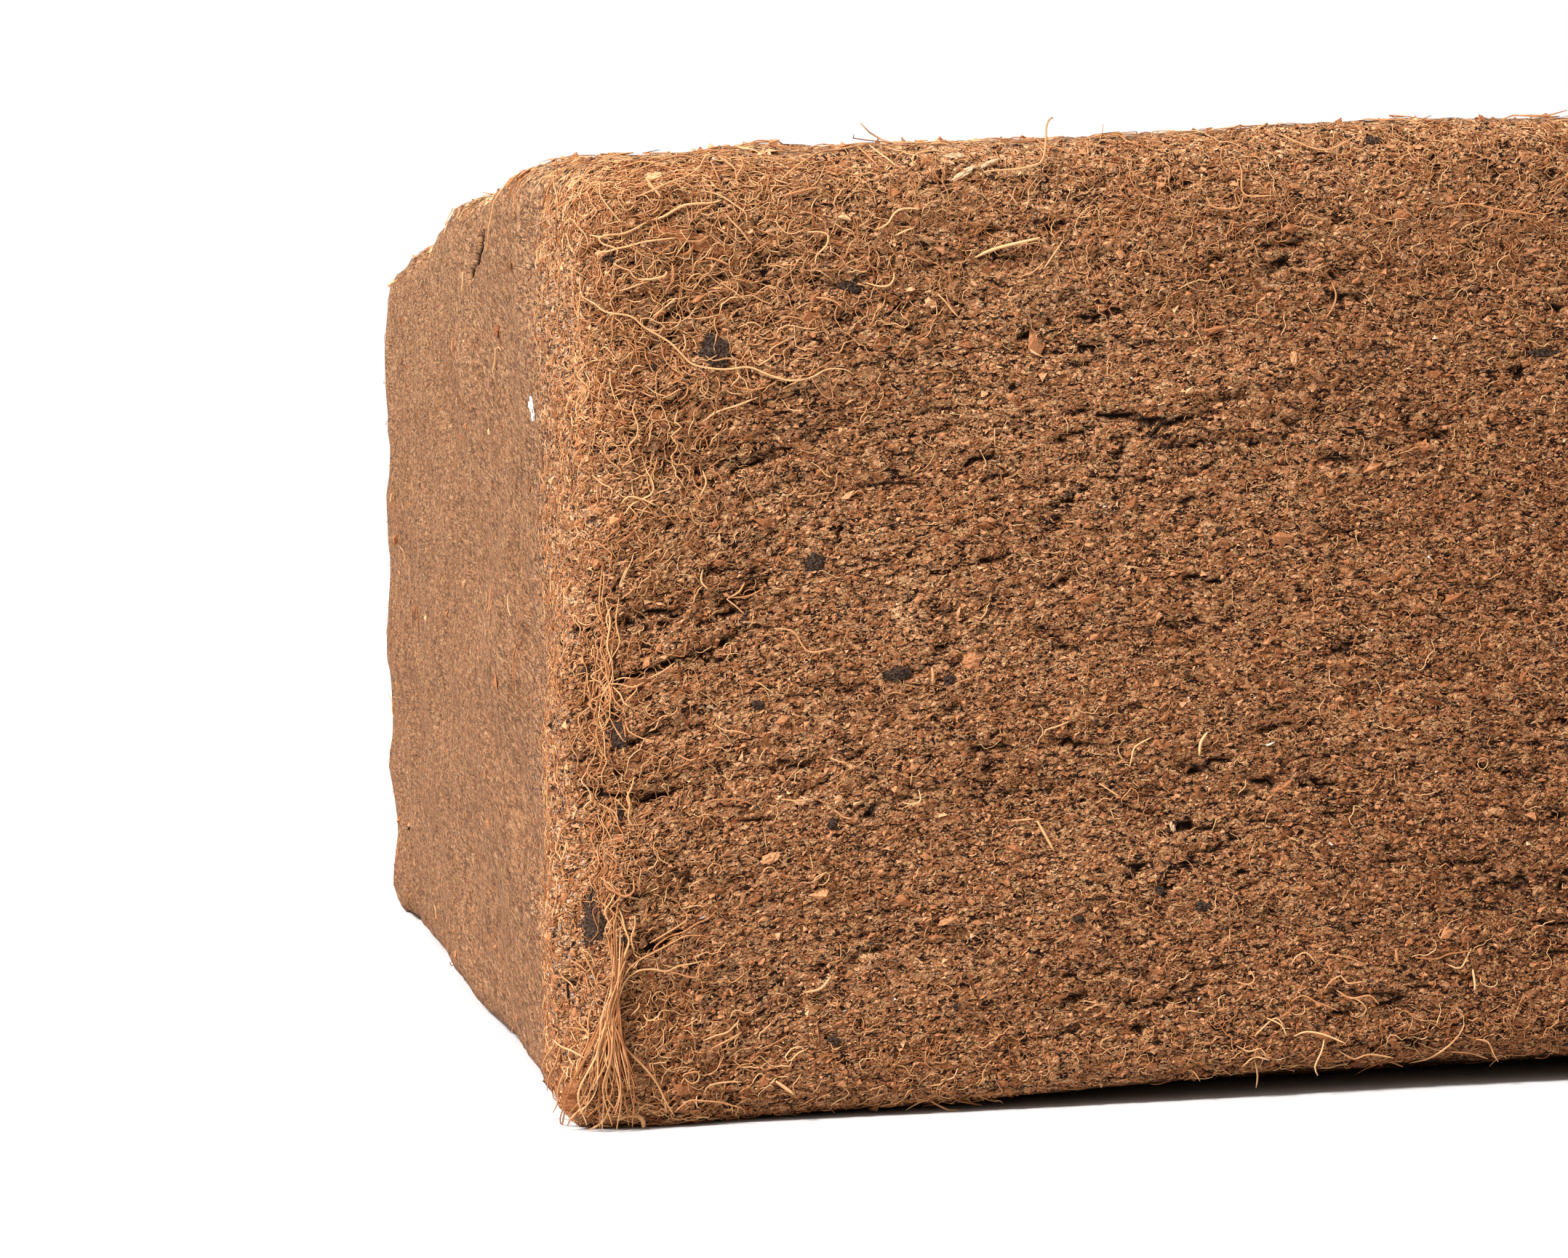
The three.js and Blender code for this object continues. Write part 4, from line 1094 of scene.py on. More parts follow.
# %% Fibres read from the photograph: radius in millimetres, then pixels
SEEN_FIBRES = [
    (0.10, [(765, 216), (765, 229), (767, 242)]),
    (0.10, [(748, 262), (747, 252), (751, 245), (760, 242), (766, 242)]),
    (0.12, [(761, 243), (761, 252), (765, 267), (768, 291)]),
    (0.10, [(771, 256), (769, 270), (767, 280)]),
    (0.11, [(829, 214), (838, 224), (848, 231), (863, 227), (884, 222), (904, 226), (922, 231), (936, 234)]),
    (0.11, [(936, 234), (953, 234), (963, 228), (970, 215), (983, 212), (1001, 208), (1021, 212)]),
    (0.11, [(853, 248), (868, 238), (889, 229), (907, 221), (930, 215), (945, 215), (963, 221), (970, 227)]),
    (0.10, [(822, 219), (810, 230), (803, 239), (802, 249), (803, 261)]),
    (0.12, [(828, 238), (820, 249), (802, 262), (789, 274), (774, 281), (759, 296), (746, 305), (731, 313)]),
    (0.10, [(751, 279), (755, 289), (757, 299)]),
    (0.10, [(760, 327), (752, 333), (742, 340), (731, 351)]),
    (0.17, [(888, 244), (896, 256), (904, 265), (909, 272)]),
    (0.17, [(992, 275), (978, 279), (960, 280), (942, 282), (927, 289), (912, 298), (889, 305)]),
    (0.14, [
        (889, 305), (876, 313), (858, 321), (838, 323), (826, 326), (824, 330), (830, 336), (843, 340),
        (849, 344), (848, 350),
    ]),
    (0.12, [(876, 270), (894, 263), (909, 256), (927, 248), (945, 242), (965, 228)]),
    (0.10, [(919, 249), (930, 252), (937, 259), (940, 265)]),
    (0.10, [(977, 221), (983, 234), (991, 252)]),
    (0.14, [(1016, 214), (1022, 226), (1016, 237), (1012, 248), (1019, 256)]),
    (0.12, [(988, 215), (1001, 224), (1011, 233), (1012, 247)]),
    (0.20, [(953, 328), (953, 339), (946, 348), (937, 350), (927, 353)]),
    (0.12, [(997, 293), (1006, 304), (1019, 317), (1029, 331), (1035, 336)]),
    (0.10, [(965, 262), (983, 266), (996, 272), (1011, 282), (1025, 293), (1027, 308)]),
    (0.13, [
        (822, 356), (822, 350), (828, 346), (835, 346), (848, 342), (863, 339), (884, 333), (904, 330),
        (930, 327),
    ]),
    (0.11, [(843, 362), (856, 369), (866, 372), (870, 379), (877, 384)]),
    (0.12, [(877, 384), (894, 384), (909, 381), (916, 377), (916, 373)]),
    (0.10, [(851, 400), (863, 397), (879, 391), (894, 386)]),
    (0.12, [(914, 402), (922, 390), (926, 377), (924, 362)]),
    (0.09, [(893, 391), (893, 400), (899, 407), (907, 415)]),
    (0.10, [(894, 439), (904, 430), (917, 420), (930, 409)]),
    (0.12, [(777, 413), (770, 423), (767, 438), (768, 458)]),
    (0.09, [(798, 379), (798, 402), (796, 428), (795, 458)]),
    (0.10, [(825, 249), (825, 267), (833, 280), (843, 293), (856, 308)]),
    (0.09, [(789, 293), (789, 280), (794, 275), (807, 272), (815, 265)]),
    (0.10, [(794, 293), (802, 298), (812, 293), (819, 285)]),
    (0.11, [(810, 323), (825, 326), (843, 328)]),
    (0.10, [(774, 311), (784, 300), (794, 311), (805, 323), (810, 339)]),
    (0.10, [(1001, 313), (1000, 321), (993, 318), (986, 313)]),
    (0.13, [(970, 355), (981, 356), (993, 360), (1004, 365)]),
    (0.16, [(830, 1205), (835, 1220), (848, 1228), (860, 1233), (871, 1226), (871, 1210)]),
    (0.13, [(841, 1226), (832, 1243), (835, 1259), (839, 1277), (837, 1294), (840, 1310), (842, 1333)]),
    (0.12, [(850, 1238), (848, 1256), (844, 1274), (845, 1294), (846, 1320)]),
    (0.14, [
        (848, 1246), (855, 1259), (859, 1277), (865, 1294), (860, 1310), (853, 1328), (850, 1343),
        (853, 1358),
    ]),
    (0.12, [(873, 1259), (873, 1274), (868, 1289), (871, 1305)]),
    (0.10, [(865, 1266), (871, 1277), (871, 1289)]),
    (0.12, [
        (966, 1322), (947, 1326), (932, 1329), (916, 1336), (899, 1333), (878, 1335), (863, 1345),
        (855, 1358), (850, 1373),
    ]),
    (0.10, [(966, 1322), (960, 1333), (961, 1343), (950, 1344), (932, 1339), (916, 1336)]),
    (0.10, [
        (970, 1287), (944, 1287), (929, 1294), (914, 1302), (899, 1310), (878, 1321), (863, 1335),
        (855, 1351),
    ]),
    (0.12, [
        (985, 1252), (973, 1264), (960, 1269), (939, 1282), (919, 1288), (901, 1302), (900, 1308),
        (914, 1302),
    ]),
    (0.10, [(943, 1256), (944, 1265), (924, 1279), (893, 1297)]),
    (0.14, [
        (840, 1396), (842, 1412), (853, 1432), (868, 1450), (888, 1470), (904, 1491), (916, 1516),
        (927, 1534),
    ]),
    (0.20, [(835, 1431), (840, 1442), (849, 1463)]),
    (0.30, [(848, 1541), (858, 1535), (873, 1534), (882, 1538), (885, 1547), (883, 1552)]),
    (0.12, [(816, 1379), (809, 1402), (809, 1430), (799, 1455), (791, 1481), (789, 1501)]),
    (0.10, [(797, 1302), (807, 1320), (817, 1343), (823, 1362)]),
    (0.10, [(784, 1320), (797, 1328), (809, 1338)]),
    (0.10, [(939, 1481), (942, 1477), (960, 1474), (960, 1486), (950, 1490), (942, 1483)]),
    (0.12, [(967, 1506), (975, 1493), (1001, 1488), (1020, 1488)]),
    (0.11, [(927, 1530), (947, 1514), (965, 1514), (990, 1516), (1020, 1524)]),
    (0.12, [(978, 1442), (996, 1433), (1013, 1424), (1020, 1419)]),
    (0.11, [(967, 1431), (985, 1424), (1001, 1419), (1016, 1404)]),
    (0.10, [(879, 1379), (878, 1386), (868, 1396)]),
    (0.10, [(885, 1395), (890, 1403), (899, 1402), (908, 1394)]),
    (0.10, [(878, 1528), (886, 1519), (899, 1521)]),
    (0.12, [(761, 1430), (771, 1439), (786, 1445), (809, 1458)]),
    (0.14, [(809, 1555), (827, 1544), (835, 1532), (840, 1519)]),
    (0.12, [(784, 1539), (794, 1529), (807, 1521)]),
    (0.15, [
        (1352, 236), (1376, 234), (1402, 232), (1424, 227), (1432, 222), (1436, 211), (1438, 191),
        (1438, 179), (1440, 169), (1445, 162), (1448, 163),
    ]),
    (0.13, [(1072, 249), (1086, 236), (1105, 222), (1128, 209), (1153, 206), (1182, 200), (1191, 198)]),
    (0.11, [(1179, 201), (1191, 212), (1204, 225), (1210, 233)]),
    (0.11, [(1195, 199), (1210, 211), (1223, 220), (1233, 230)]),
    (0.13, [(1074, 270), (1092, 265), (1112, 260), (1128, 257)]),
    (0.12, [(1112, 319), (1128, 319), (1139, 324), (1136, 338), (1123, 351), (1121, 364)]),
    (0.13, [(1204, 316), (1220, 308), (1230, 293), (1242, 287), (1265, 287)]),
    (0.11, [(1230, 324), (1246, 317), (1257, 313)]),
    (0.20, [(1341, 354), (1360, 345), (1383, 338), (1405, 333), (1430, 327)]),
    (0.11, [(1435, 370), (1446, 354), (1461, 332)]),
    (0.12, [(1285, 360), (1300, 373), (1306, 380), (1309, 392)]),
    (0.11, [(1191, 389), (1210, 394), (1223, 392), (1229, 383), (1229, 375)]),
    (0.14, [(1121, 409), (1137, 411), (1150, 416), (1159, 424)]),
    (0.10, [(1289, 404), (1300, 415), (1309, 427), (1319, 437)]),
    (0.10, [(1301, 404), (1305, 418), (1316, 434)]),
    (0.10, [(1252, 345), (1265, 354), (1281, 362)]),
    (0.11, [(1204, 319), (1210, 306), (1207, 316)]),
    (0.10, [(1386, 265), (1394, 274), (1400, 284)]),
    (0.11, [(1306, 214), (1287, 207), (1261, 211), (1254, 219), (1257, 225)]),
    (0.13, [
        (797, 380), (800, 406), (818, 418), (833, 429), (867, 435), (886, 450), (921, 471), (940, 490),
        (955, 502), (993, 508), (1029, 505), (1053, 514), (1083, 523), (1113, 520), (1137, 508), (1161, 508),
        (1173, 514),
    ]),
    (0.14, [(1064, 864), (1091, 869), (1112, 896), (1150, 891)]),
    (0.11, [(919, 1061), (955, 1046), (990, 1032)]),
    (0.12, [(1755, 183), (1818, 206), (1864, 188)]),
    (0.12, [(1701, 219), (1707, 234), (1711, 267), (1751, 269)]),
    (0.12, [(1659, 271), (1667, 284), (1688, 287), (1705, 284), (1709, 271)]),
    (0.12, [(1981, 286), (2019, 280), (2061, 288), (2119, 296)]),
    (0.12, [(1831, 388), (1837, 405), (1833, 422), (1822, 439)]),
    (0.20, [(1655, 455), (1688, 449)]),
    (0.20, [(1281, 918), (1283, 927), (1282, 941)]),
    (0.20, [(1660, 1007), (1651, 1021), (1649, 1039)]),
    (0.12, [(1436, 1011), (1438, 1004), (1451, 1000), (1469, 993)]),
    (0.12, [(1583, 1014), (1561, 1027), (1556, 1043), (1553, 1055)]),
    (0.20, [(1426, 1129), (1436, 1146), (1449, 1170)]),
    (0.12, [(1390, 1129), (1422, 1126)]),
    (0.10, [(1263, 1086), (1266, 1100), (1256, 1106), (1242, 1104)]),
    (0.10, [(1254, 1064), (1252, 1080)]),
    (0.10, [(1511, 1077), (1540, 1096)]),
    (0.16, [(1143, 1342), (1129, 1359), (1107, 1365)]),
    (0.22, [(1067, 1487), (1092, 1505)]),
    (0.12, [(1277, 1513), (1298, 1524), (1319, 1533)]),
    (0.09, [(768, 1418), (760, 1440), (751, 1452), (744, 1470)]),
    (0.11, [(770, 1440), (764, 1462), (755, 1480), (752, 1500)]),
    (0.12, [(778, 1470), (768, 1495), (766, 1518), (760, 1530)]),
    (0.10, [(786, 1490), (778, 1515), (770, 1538), (772, 1550)]),
    (0.12, [(792, 1505), (788, 1530), (780, 1548)]),
    (0.09, [(757, 1405), (748, 1424), (741, 1440)]),
    (0.12, [(1312, 1513), (1350, 1520)]),
    (0.10, [(845, 603), (833, 608), (831, 620), (839, 635), (851, 643), (854, 653)]),
    (0.12, [(875, 549), (870, 564), (877, 585), (875, 601), (864, 614), (868, 628), (855, 643)]),
    (0.11, [(854, 693), (864, 683), (885, 687), (900, 695)]),
    (0.11, [(858, 708), (870, 693), (895, 680), (898, 666), (888, 645)]),
    (0.11, [(905, 716), (893, 699), (880, 687), (866, 685)]),
    (0.11, [(928, 524), (945, 529), (943, 544), (932, 552)]),
    (0.10, [(1003, 520), (1012, 532), (1037, 536), (1053, 532)]),
    (0.12, [(966, 580), (987, 566), (1012, 558), (1043, 546)]),
    (0.10, [(822, 553), (839, 564), (852, 579), (867, 587)]),
    (0.10, [(839, 555), (858, 564), (876, 567), (873, 555)]),
    (0.12, [(966, 647), (971, 664), (962, 683)]),
    (0.11, [(982, 675), (993, 664), (987, 651), (974, 647)]),
    (0.10, [(932, 564), (928, 580), (937, 587), (923, 600), (932, 612), (926, 624)]),
    (0.11, [(887, 712), (874, 728), (858, 741), (845, 749)]),
    (0.11, [(845, 712), (852, 724), (837, 737), (824, 753)]),
    (0.10, [(778, 541), (782, 552), (778, 562), (783, 572)]),
    (0.11, [(916, 430), (908, 428), (899, 439), (893, 441)]),
    (0.10, [(845, 437), (855, 445), (858, 455), (852, 449)]),
    (0.10, [(820, 520), (829, 532), (841, 537)]),
    (0.12, [(937, 487), (943, 474), (940, 460)]),
    (0.10, [(930, 505), (939, 518), (932, 524), (920, 529)]),
    (0.10, [(866, 516), (873, 503), (887, 505)]),
    (0.11, [(814, 653), (829, 666), (841, 672), (839, 687)]),
    (0.10, [(820, 745), (841, 762), (837, 774)]),
    (0.10, [(937, 637), (948, 648), (947, 660)]),
    (0.10, [(953, 674), (962, 689), (955, 693)]),
    (0.10, [(839, 938), (858, 932), (874, 935), (887, 932)]),
    (0.10, [(837, 940), (853, 941), (870, 945), (886, 938)]),
    (0.10, [(843, 945), (853, 955), (858, 967), (867, 972)]),
    (0.10, [(841, 947), (845, 963), (857, 976), (860, 988)]),
    (0.11, [(872, 942), (876, 948), (862, 963), (855, 972)]),
    (0.10, [(839, 988), (849, 1007), (860, 1020), (858, 997)]),
    (0.10, [(860, 992), (864, 1005), (882, 1015), (903, 1020)]),
    (0.12, [(828, 780), (824, 830), (830, 863), (826, 897), (839, 918)]),
    (0.12, [(832, 822), (839, 855), (835, 888), (843, 913)]),
    (0.11, [(851, 822), (847, 855), (852, 884), (841, 905)]),
    (0.10, [(862, 780), (855, 797), (851, 806)]),
    (0.10, [(874, 805), (866, 815), (855, 822)]),
    (0.10, [(872, 872), (866, 884), (862, 901)]),
    (0.10, [(928, 911), (910, 924), (889, 934)]),
    (0.11, [(966, 784), (964, 799), (974, 811)]),
    (0.12, [(999, 824), (1016, 814), (1024, 801)]),
    (0.10, [(999, 824), (1012, 834), (1024, 845)]),
    (0.11, [(1001, 822), (1028, 820), (1050, 809)]),
    (0.10, [(1070, 938), (1072, 953)]),
    (0.12, [(982, 995), (995, 1004), (1014, 1006), (1030, 1010)]),
    (0.12, [(932, 1038), (949, 1046), (958, 1042)]),
    (0.12, [(964, 1107), (978, 1101), (999, 1099), (1020, 1101), (1035, 1106)]),
    (0.10, [(1074, 1099), (1095, 1101), (1118, 1099)]),
    (0.12, [(862, 1088), (866, 1105), (864, 1126), (872, 1138)]),
    (0.11, [(872, 1068), (868, 1084), (862, 1097), (868, 1113)]),
    (0.10, [(845, 1097), (860, 1113), (870, 1126)]),
    (0.10, [(1141, 1042), (1153, 1047), (1164, 1049)]),
    (0.11, [(1147, 1113), (1160, 1124), (1174, 1126)]),
    (0.11, [(1775, 1329), (1781, 1317), (1796, 1310), (1810, 1325)]),
    (0.10, [(1825, 1312), (1858, 1318), (1879, 1329)]),
    (0.20, [(1919, 1306), (1922, 1325)]),
    (0.11, [(1946, 1317), (1975, 1319), (1992, 1312), (2023, 1308)]),
    (0.12, [(1988, 1325), (2008, 1331), (2023, 1304)]),
    (0.16, [(2025, 1333), (2028, 1354), (2027, 1362)]),
    (0.11, [(1700, 1350), (1717, 1354), (1725, 1346), (1719, 1335)]),
    (0.11, [(1821, 1362), (1829, 1350), (1844, 1342), (1852, 1352), (1875, 1350)]),
    (0.13, [(1838, 1362), (1858, 1373), (1883, 1369), (1896, 1381)]),
    (0.11, [(1844, 1369), (1867, 1375), (1879, 1388), (1871, 1398)]),
    (0.10, [(1775, 1377), (1792, 1369), (1808, 1377), (1840, 1390)]),
    (0.12, [(1725, 1425), (1738, 1412), (1754, 1400), (1767, 1412)]),
    (0.10, [(1742, 1400), (1762, 1410), (1769, 1425)]),
    (0.12, [(1779, 1425), (1796, 1419), (1821, 1423), (1850, 1435)]),
    (0.12, [(1821, 1429), (1817, 1446), (1808, 1467), (1812, 1479)]),
    (0.11, [(1842, 1446), (1862, 1456), (1883, 1450), (1917, 1455)]),
    (0.11, [(1862, 1479), (1883, 1467), (1908, 1460), (1929, 1467)]),
    (0.12, [(1938, 1462), (1967, 1454), (1992, 1438), (2008, 1421)]),
    (0.13, [(1992, 1446), (2021, 1448), (2046, 1456)]),
    (0.12, [(2029, 1429), (2046, 1433), (2054, 1450), (2060, 1460)]),
    (0.10, [(1725, 1458), (1729, 1479), (1727, 1496)]),
    (0.11, [(1700, 1438), (1717, 1446), (1733, 1442), (1742, 1454)]),
    (0.11, [(1708, 1467), (1725, 1454), (1746, 1458)]),
]
BROOM = [
    ((850, 10), (1255, 1335)), ((848, 6), (1350, 1356)), ((838, 10), (1396, 1404)),
    ((831, 22), (1446, 1454)), ((828, 36), (1496, 1504)), ((824, 43), (1526, 1556)),
]
BROOM_COUNT = 46
BROOM_RADII, BAND_RADII = (0.07, 0.13), (0.06, 0.10)
BANDS = [(30, 812, 17, (340, 1190)), (40, 830, 8, (770, 1000)), (16, 836, 9, (1080, 1260))]

draw = np.random.default_rng(34)
bundles = [laid_fibre(draw, radius, pixels, draw.uniform(0.2, 0.6)) for radius, pixels in SEEN_FIBRES]
for _ in range(BROOM_COUNT):
    leans = draw.uniform(-1, 1) + np.cumsum(draw.normal(0, 0.35, len(BROOM)))
    strand = [
        (x + reach * lean + draw.normal(0, 4.0), draw.uniform(*rows))
        for ((x, reach), rows), lean in zip(BROOM, leans.clip(-1.2, 1.2))
    ]
    strand = strand[draw.integers(0, 3):len(BROOM) - draw.integers(0, 2)]
    radius, height = draw.uniform(*BROOM_RADII), draw.uniform(0.1, 1.2)
    bundles.append(laid_fibre(draw, radius, strand, height, pale=0.5))
for count, column, column_spread, band_rows in BANDS:
    for _ in range(count):
        steps = draw.integers(3, 8)
        columns = draw.normal(column, column_spread) + draw.normal(0, 6, steps)
        rows = draw.uniform(*band_rows) + np.cumsum(draw.uniform(9, 20, steps))
        strand = np.column_stack([columns, rows])
        radius, height = draw.uniform(*BAND_RADII), draw.uniform(0.15, 0.5)
        bundles.append(laid_fibre(draw, radius, strand, height, pale=0.5))
fibres_seen = fibre_piece("fibres_seen", bundles, sides=5)

# %% [markdown]
# ## Finishes
# Dry coir is dull all over. Its colour follows its tone: dark pith is a deep red-brown and pale pith is
# tan, so each stop of the palette is not only lighter than the last but also less red. Gaps and cracks are
# painted nearly black as painted shade, slivers are fibre-coloured and some patches are rusty or ashen.
# Painted light makes the pith paler towards both ends and the top edge and darker in the middle.
# The crumbs take the same palette by their own tone. The fibres are straw, with a few darker or bleached
# ones.

# %% Palette and helpers
PITH_STOPS = [
    (0.0, (0.028, 0.006, 0.002)), (0.18, (0.095, 0.026, 0.008)), (0.36, (0.195, 0.067, 0.023)),
    (0.54, (0.322, 0.121, 0.046)), (0.72, (0.455, 0.188, 0.078)), (0.88, (0.620, 0.305, 0.142)),
    (1.0, (0.820, 0.470, 0.240)),
]
# Painted shade: the near-black colour of gaps, grain outlines and cracks.
GAP_SHADE = (0.014, 0.003, 0.001)
SLIVER = (0.640, 0.340, 0.150)
RUST = (0.330, 0.095, 0.030)
ASH = (0.220, 0.125, 0.080)
SMOOTH_PITH = (0.300, 0.145, 0.072)
SMOOTH_DARK = (0.185, 0.079, 0.034)
DUST = (0.560, 0.470, 0.430)
HUSK = (0.018, 0.008, 0.005)
HUSK_FACE = (0.075, 0.045, 0.030)
TAN = (0.660, 0.450, 0.270)
SALT = (0.85, 0.80, 0.74)
STRAW_DARK = (0.270, 0.088, 0.028)
STRAW = (0.510, 0.215, 0.082)
STRAW_PALE = (0.790, 0.460, 0.215)
CRUST_TONE = 0.59
CRUMB_TONE = 0.555
# Painted light on the pith: how much paler towards both ends and the top edge, and how much darker in the
# middle.
PAINTED_LIGHT_AT_ENDS = 0.14
PAINTED_LIGHT_REACH = 60.0
PAINTED_SHADE_IN_MIDDLE = 0.055
PAINTED_LIGHT_AT_TOP = 0.21
PAINTED_LIGHT_TOP_DEPTH = 25.0
DULL = 0.15
CRUST_ROUGHNESS, CRUMB_ROUGHNESS, FIBRE_ROUGHNESS = 0.92, 0.9, 0.6
CRUMB_CONTRAST, GRAIN_CONTRAST = 0.58, 0.55
HUSK_BELOW, TAN_FROM, SALT_FROM = 0.012, 0.996, 0.999
TONE_EDGE = 0.0005
WIDE_PATCHES, WIDE_PATCH_TONE = (26.0, 26.0, 14.0), 0.3
MIDDLE_FROM, MIDDLE_FULL = 80.0, 30.0
HUE_PATCHES, HUE_SHARE = (1.6, 1.6, 0.7), 0.45
RUSTY, ASHEN = (0.60, 0.70), (0.40, 0.30)
SLIVER_SHARE = 0.8
CALM_FROM, CALM_FULL, CALM_NEAR, CALM_FAR = 6.0, 60.0, 0.08, 0.5
MOTTLE = (2.5, 2.5, 4.0)
DUST_SPOTS, DUST_SHARE = (0.7, 0.7, 0.9), 0.6
# Painted shade: the crack depths, in mm, over which the crust turns from its own colour to painted near
# black.
CRACK_SHADE_STEP = (0.3, 0.9)
SMALL_CRACK_BUMP = 0.3
CRUMB_GRAIN, CRUMB_BUMP = (0.35, 0.35, 0.22), 0.15
STREAKS, STREAK_TONE = (0.8, 0.8, 0.8), 0.5


def new_material(name):
    material = bpy.data.materials.new(name)
    material.use_nodes = True
    return material, Graph(material.node_tree)


def finish_material(graph, colour, roughness, normal=None):
    """The Principled shader and the output that every finish ends in."""
    sockets = {"Base Color": colour, "Roughness": roughness, "Specular IOR Level": DULL}
    if normal:
        sockets["Normal"] = normal
    shader = graph.node("ShaderNodeBsdfPrincipled", sockets=sockets)
    graph.node("ShaderNodeOutputMaterial", sockets={"Surface": shader})


def ramp(graph, value, stops):
    return graph.node("ShaderNodeValToRGB", {"stops": stops}, {"Fac": value})


def wide_tone(graph, place):
    """The slow changes of tone over the block: wide patches, and painted light that makes it paler towards
    both ends and the top edge and darker in the middle.
    """
    x, _, z = graph.split(place)
    # Painted light: paler towards both ends and the top edge, darker in the middle of the long sides.
    light_at_ends = ((x.math("ABSOLUTE") + LEFT) * (1 / PAINTED_LIGHT_REACH)).math("EXPONENT") * PAINTED_LIGHT_AT_ENDS
    light_at_top = ((z - TOP) * (1 / PAINTED_LIGHT_TOP_DEPTH)).math("EXPONENT") * PAINTED_LIGHT_AT_TOP
    shade_in_middle = graph.step(x.math("ABSOLUTE"), MIDDLE_FROM, MIDDLE_FULL) * PAINTED_SHADE_IN_MIDDLE
    patches = (graph.noise(place, WIDE_PATCHES, detail=3.0) - 0.5) * WIDE_PATCH_TONE
    return patches + light_at_ends + light_at_top - shade_in_middle


# %% Crust
def crust_material():
    material, graph = new_material("pressed coir")
    skin = graph.node("ShaderNodeAttribute", {"attribute_name": "skin_place"}, out="Vector")
    rubbed = graph.node("ShaderNodeAttribute", {"attribute_name": "rubbed"}, out="Fac")
    cut = graph.node("ShaderNodeAttribute", {"attribute_name": "crack_depth"}, out="Fac")
    place = place_in_layers(graph, skin, rubbed)
    bare_place = graph.vector("DIVIDE", skin, (MM, MM, MM))
    tone, gaps, slivers, relief = pressed_coir(graph, place)
    # The wide tone carries painted light: paler ends and top edge, darker middle.
    colour = ramp(graph, tone + wide_tone(graph, bare_place) + CRUST_TONE, PITH_STOPS)
    hue = graph.noise(place, HUE_PATCHES)
    colour = graph.blend(graph.step(hue, *RUSTY) * HUE_SHARE, colour, RUST)
    colour = graph.blend(graph.step(hue, *ASHEN) * HUE_SHARE, colour, ASH)
    colour = graph.blend(slivers * SLIVER_SHARE, colour, SLIVER)
    crack = small_cracks(graph, place)
    # Painted shade: gaps, grain outlines and small cracks are painted near black.
    colour = graph.blend(gaps.math("MAXIMUM", crack), colour, GAP_SHADE)
    _, y, _ = graph.split(bare_place)
    far_in = graph.step(y, FRONT + CALM_FROM, FRONT + CALM_FULL)
    calm = rubbed * (far_in * CALM_FAR + CALM_NEAR)
    mottle = graph.step(graph.noise(bare_place, MOTTLE, detail=4.0), 0.38, 0.62)
    colour = graph.blend(calm, colour, graph.blend(mottle, SMOOTH_DARK, SMOOTH_PITH))
    dust = graph.step(graph.noise(bare_place, DUST_SPOTS, detail=3.0), 0.60, 0.66)
    colour = graph.blend(dust * rubbed * (1 - far_in) * DUST_SHARE, colour, DUST)
    # Painted shade: the crust is painted near black inside the cracks, darker the deeper it lies.
    colour = graph.blend(graph.step(cut, *CRACK_SHADE_STEP), colour, GAP_SHADE)
    height = (relief - crack * SMALL_CRACK_BUMP) * (1 - calm)
    normal = graph.node("ShaderNodeBump", sockets={"Strength": 1.0, "Distance": 1.0 * MM, "Height": height})
    finish_material(graph, colour, CRUST_ROUGHNESS, normal)
    return material


crust.data.materials.clear()
crust.data.materials.append(crust_material())


# %% Crumbs and fibres
def crumb_material():
    material, graph = new_material("crumbs of pith")
    tone = graph.node("ShaderNodeAttribute", {"attribute_name": "tone"}, out="Fac")
    place = graph.vector("DIVIDE", graph.node("ShaderNodeTexCoord", out="Object"), (MM, MM, MM))
    grain = graph.noise(place, CRUMB_GRAIN)
    value = (tone - 0.5) * CRUMB_CONTRAST + (grain - 0.5) * GRAIN_CONTRAST
    # The wide tone carries painted light: paler ends and top edge, darker middle.
    colour = ramp(graph, value + wide_tone(graph, place) + CRUMB_TONE, PITH_STOPS)
    husk = graph.blend(graph.step(grain, 0.40, 0.62), HUSK, HUSK_FACE)
    colour = graph.blend(graph.step(tone, HUSK_BELOW + TONE_EDGE, HUSK_BELOW), colour, husk)
    colour = graph.blend(graph.step(tone, TAN_FROM - TONE_EDGE, TAN_FROM), colour, TAN)
    colour = graph.blend(graph.step(tone, SALT_FROM - TONE_EDGE, SALT_FROM), colour, SALT)
    sockets = {"Strength": 0.7, "Distance": CRUMB_BUMP * MM, "Height": grain}
    normal = graph.node("ShaderNodeBump", sockets=sockets)
    finish_material(graph, colour, CRUMB_ROUGHNESS, normal)
    return material


def fibre_material():
    material, graph = new_material("coir fibre")
    tone = graph.node("ShaderNodeAttribute", {"attribute_name": "tone"}, out="Fac")
    place = graph.vector("DIVIDE", graph.node("ShaderNodeTexCoord", out="Object"), (MM, MM, MM))
    streaks = graph.noise(place, STREAKS)
    stops = [(0.0, STRAW_DARK), (0.35, STRAW), (0.8, STRAW_PALE), (1.0, STRAW_PALE)]
    colour = ramp(graph, tone * 0.9 + (streaks - 0.5) * STREAK_TONE, stops)
    finish_material(graph, colour, FIBRE_ROUGHNESS)
    return material


crumb_finish = crumb_material()
fibre_finish = fibre_material()
for piece in (crumbs_fine, crumbs_coarse, crumbs_far, husk_chips):
    piece.data.materials.append(crumb_finish)
for piece in (fibres_front, fibres_corner, fibres_far, fibres_seen):
    piece.data.materials.append(fibre_finish)

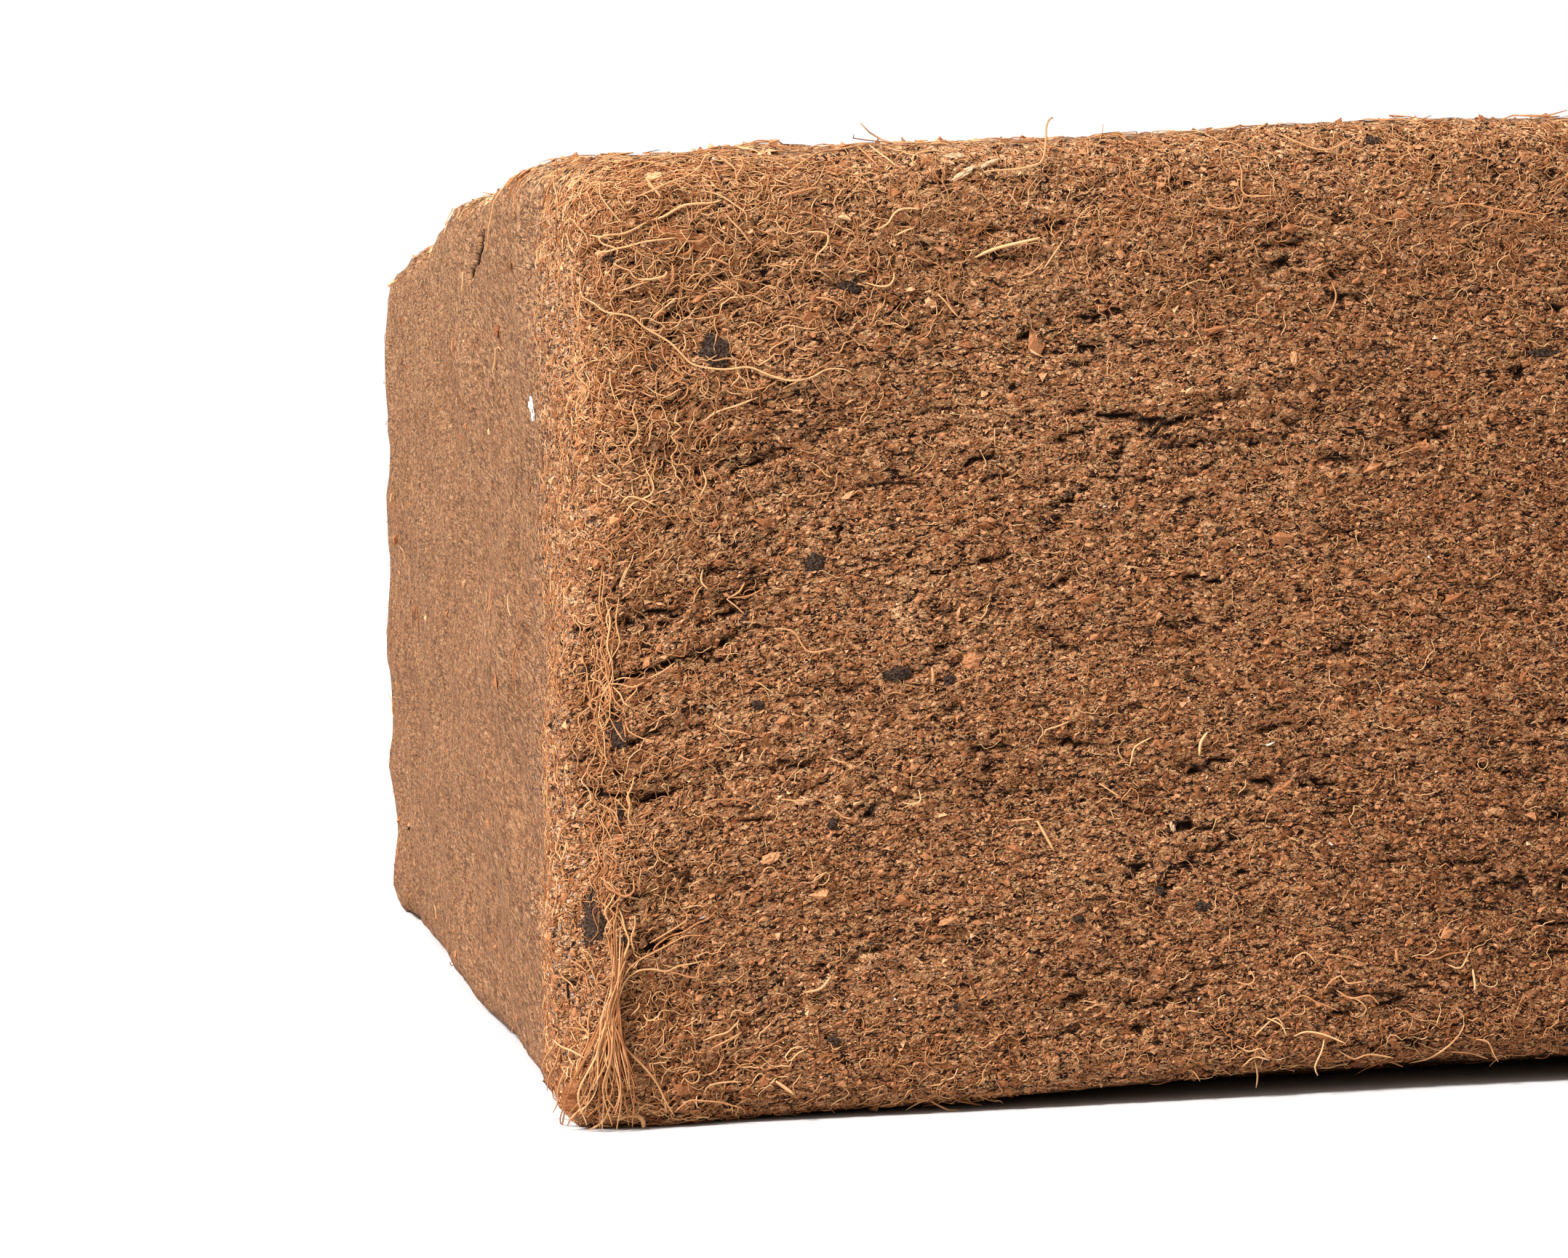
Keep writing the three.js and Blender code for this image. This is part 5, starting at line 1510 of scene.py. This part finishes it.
# %% [markdown]
# ## Floor and light
# The bale stands on a white sweep in bright soft light: a sky that is bright overhead and dim at the
# horizon, and one wide lamp to the left in front. The camera sees plain white behind the bale. The floor is
# so brightly lit that only the shadow under the lifted front edge shows.

# %% Floor
FLOOR_HALF = 3.0
FLOOR_COLOUR = (0.66, 0.66, 0.66, 1.0)
FLOOR_ROUGHNESS = 0.9
bpy.ops.mesh.primitive_plane_add(size=2 * FLOOR_HALF, location=(0, 0, 0))
floor = bpy.context.object
floor.name = "studio_floor"
floor_material, graph = new_material("white sweep")
finish_material(graph, FLOOR_COLOUR, FLOOR_ROUGHNESS)
floor.data.materials.append(floor_material)

# %% Light
SKY_STRENGTH = 0.8
HORIZON_SHARE = 0.1
WHITE = (1, 1, 1, 1)
world = bpy.data.worlds.new("white room")
world.use_nodes = True
graph = Graph(world.node_tree)
_, _, rise = graph.split(graph.node("ShaderNodeTexCoord", out="Generated"))
glow = (graph.step(rise, 0.0, 0.7) * (1 - HORIZON_SHARE) + HORIZON_SHARE) * SKY_STRENGTH
background = graph.node("ShaderNodeBackground", sockets={"Color": WHITE, "Strength": glow})
seen = graph.node("ShaderNodeBackground", sockets={"Color": WHITE, "Strength": 1.0})
by_camera = graph.node("ShaderNodeLightPath")
light = graph.node("ShaderNodeMixShader", sockets={0: by_camera, 1: background, 2: seen})
graph.node("ShaderNodeOutputWorld", sockets={"Surface": light})
bpy.context.scene.world = world

SUN_POWER = 5.4
SUN_WIDTH = 10.0
SUN_FROM = Vector((-0.58, -0.40, 0.71))
sun_data = bpy.data.lights.new("soft_sun", "SUN")
sun_data.energy = SUN_POWER
sun_data.angle = math.radians(SUN_WIDTH)
sun = bpy.data.objects.new("soft_sun", sun_data)
bpy.context.collection.objects.link(sun)
sun.rotation_euler = SUN_FROM.to_track_quat("Z", "Y").to_euler()
bpy.context.scene.view_settings.view_transform = "Standard"

# %% [markdown]
# ## Hand over
# The crust stands for the plain block, which is hidden. Everything rides on its one body.

# %% Ride and replace
fibres = [fibres_front, fibres_corner, fibres_far, fibres_seen]
for piece in [crust, crumbs_fine, crumbs_coarse, crumbs_far, husk_chips, *fibres]:
    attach(piece, "root")
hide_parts(NODE)
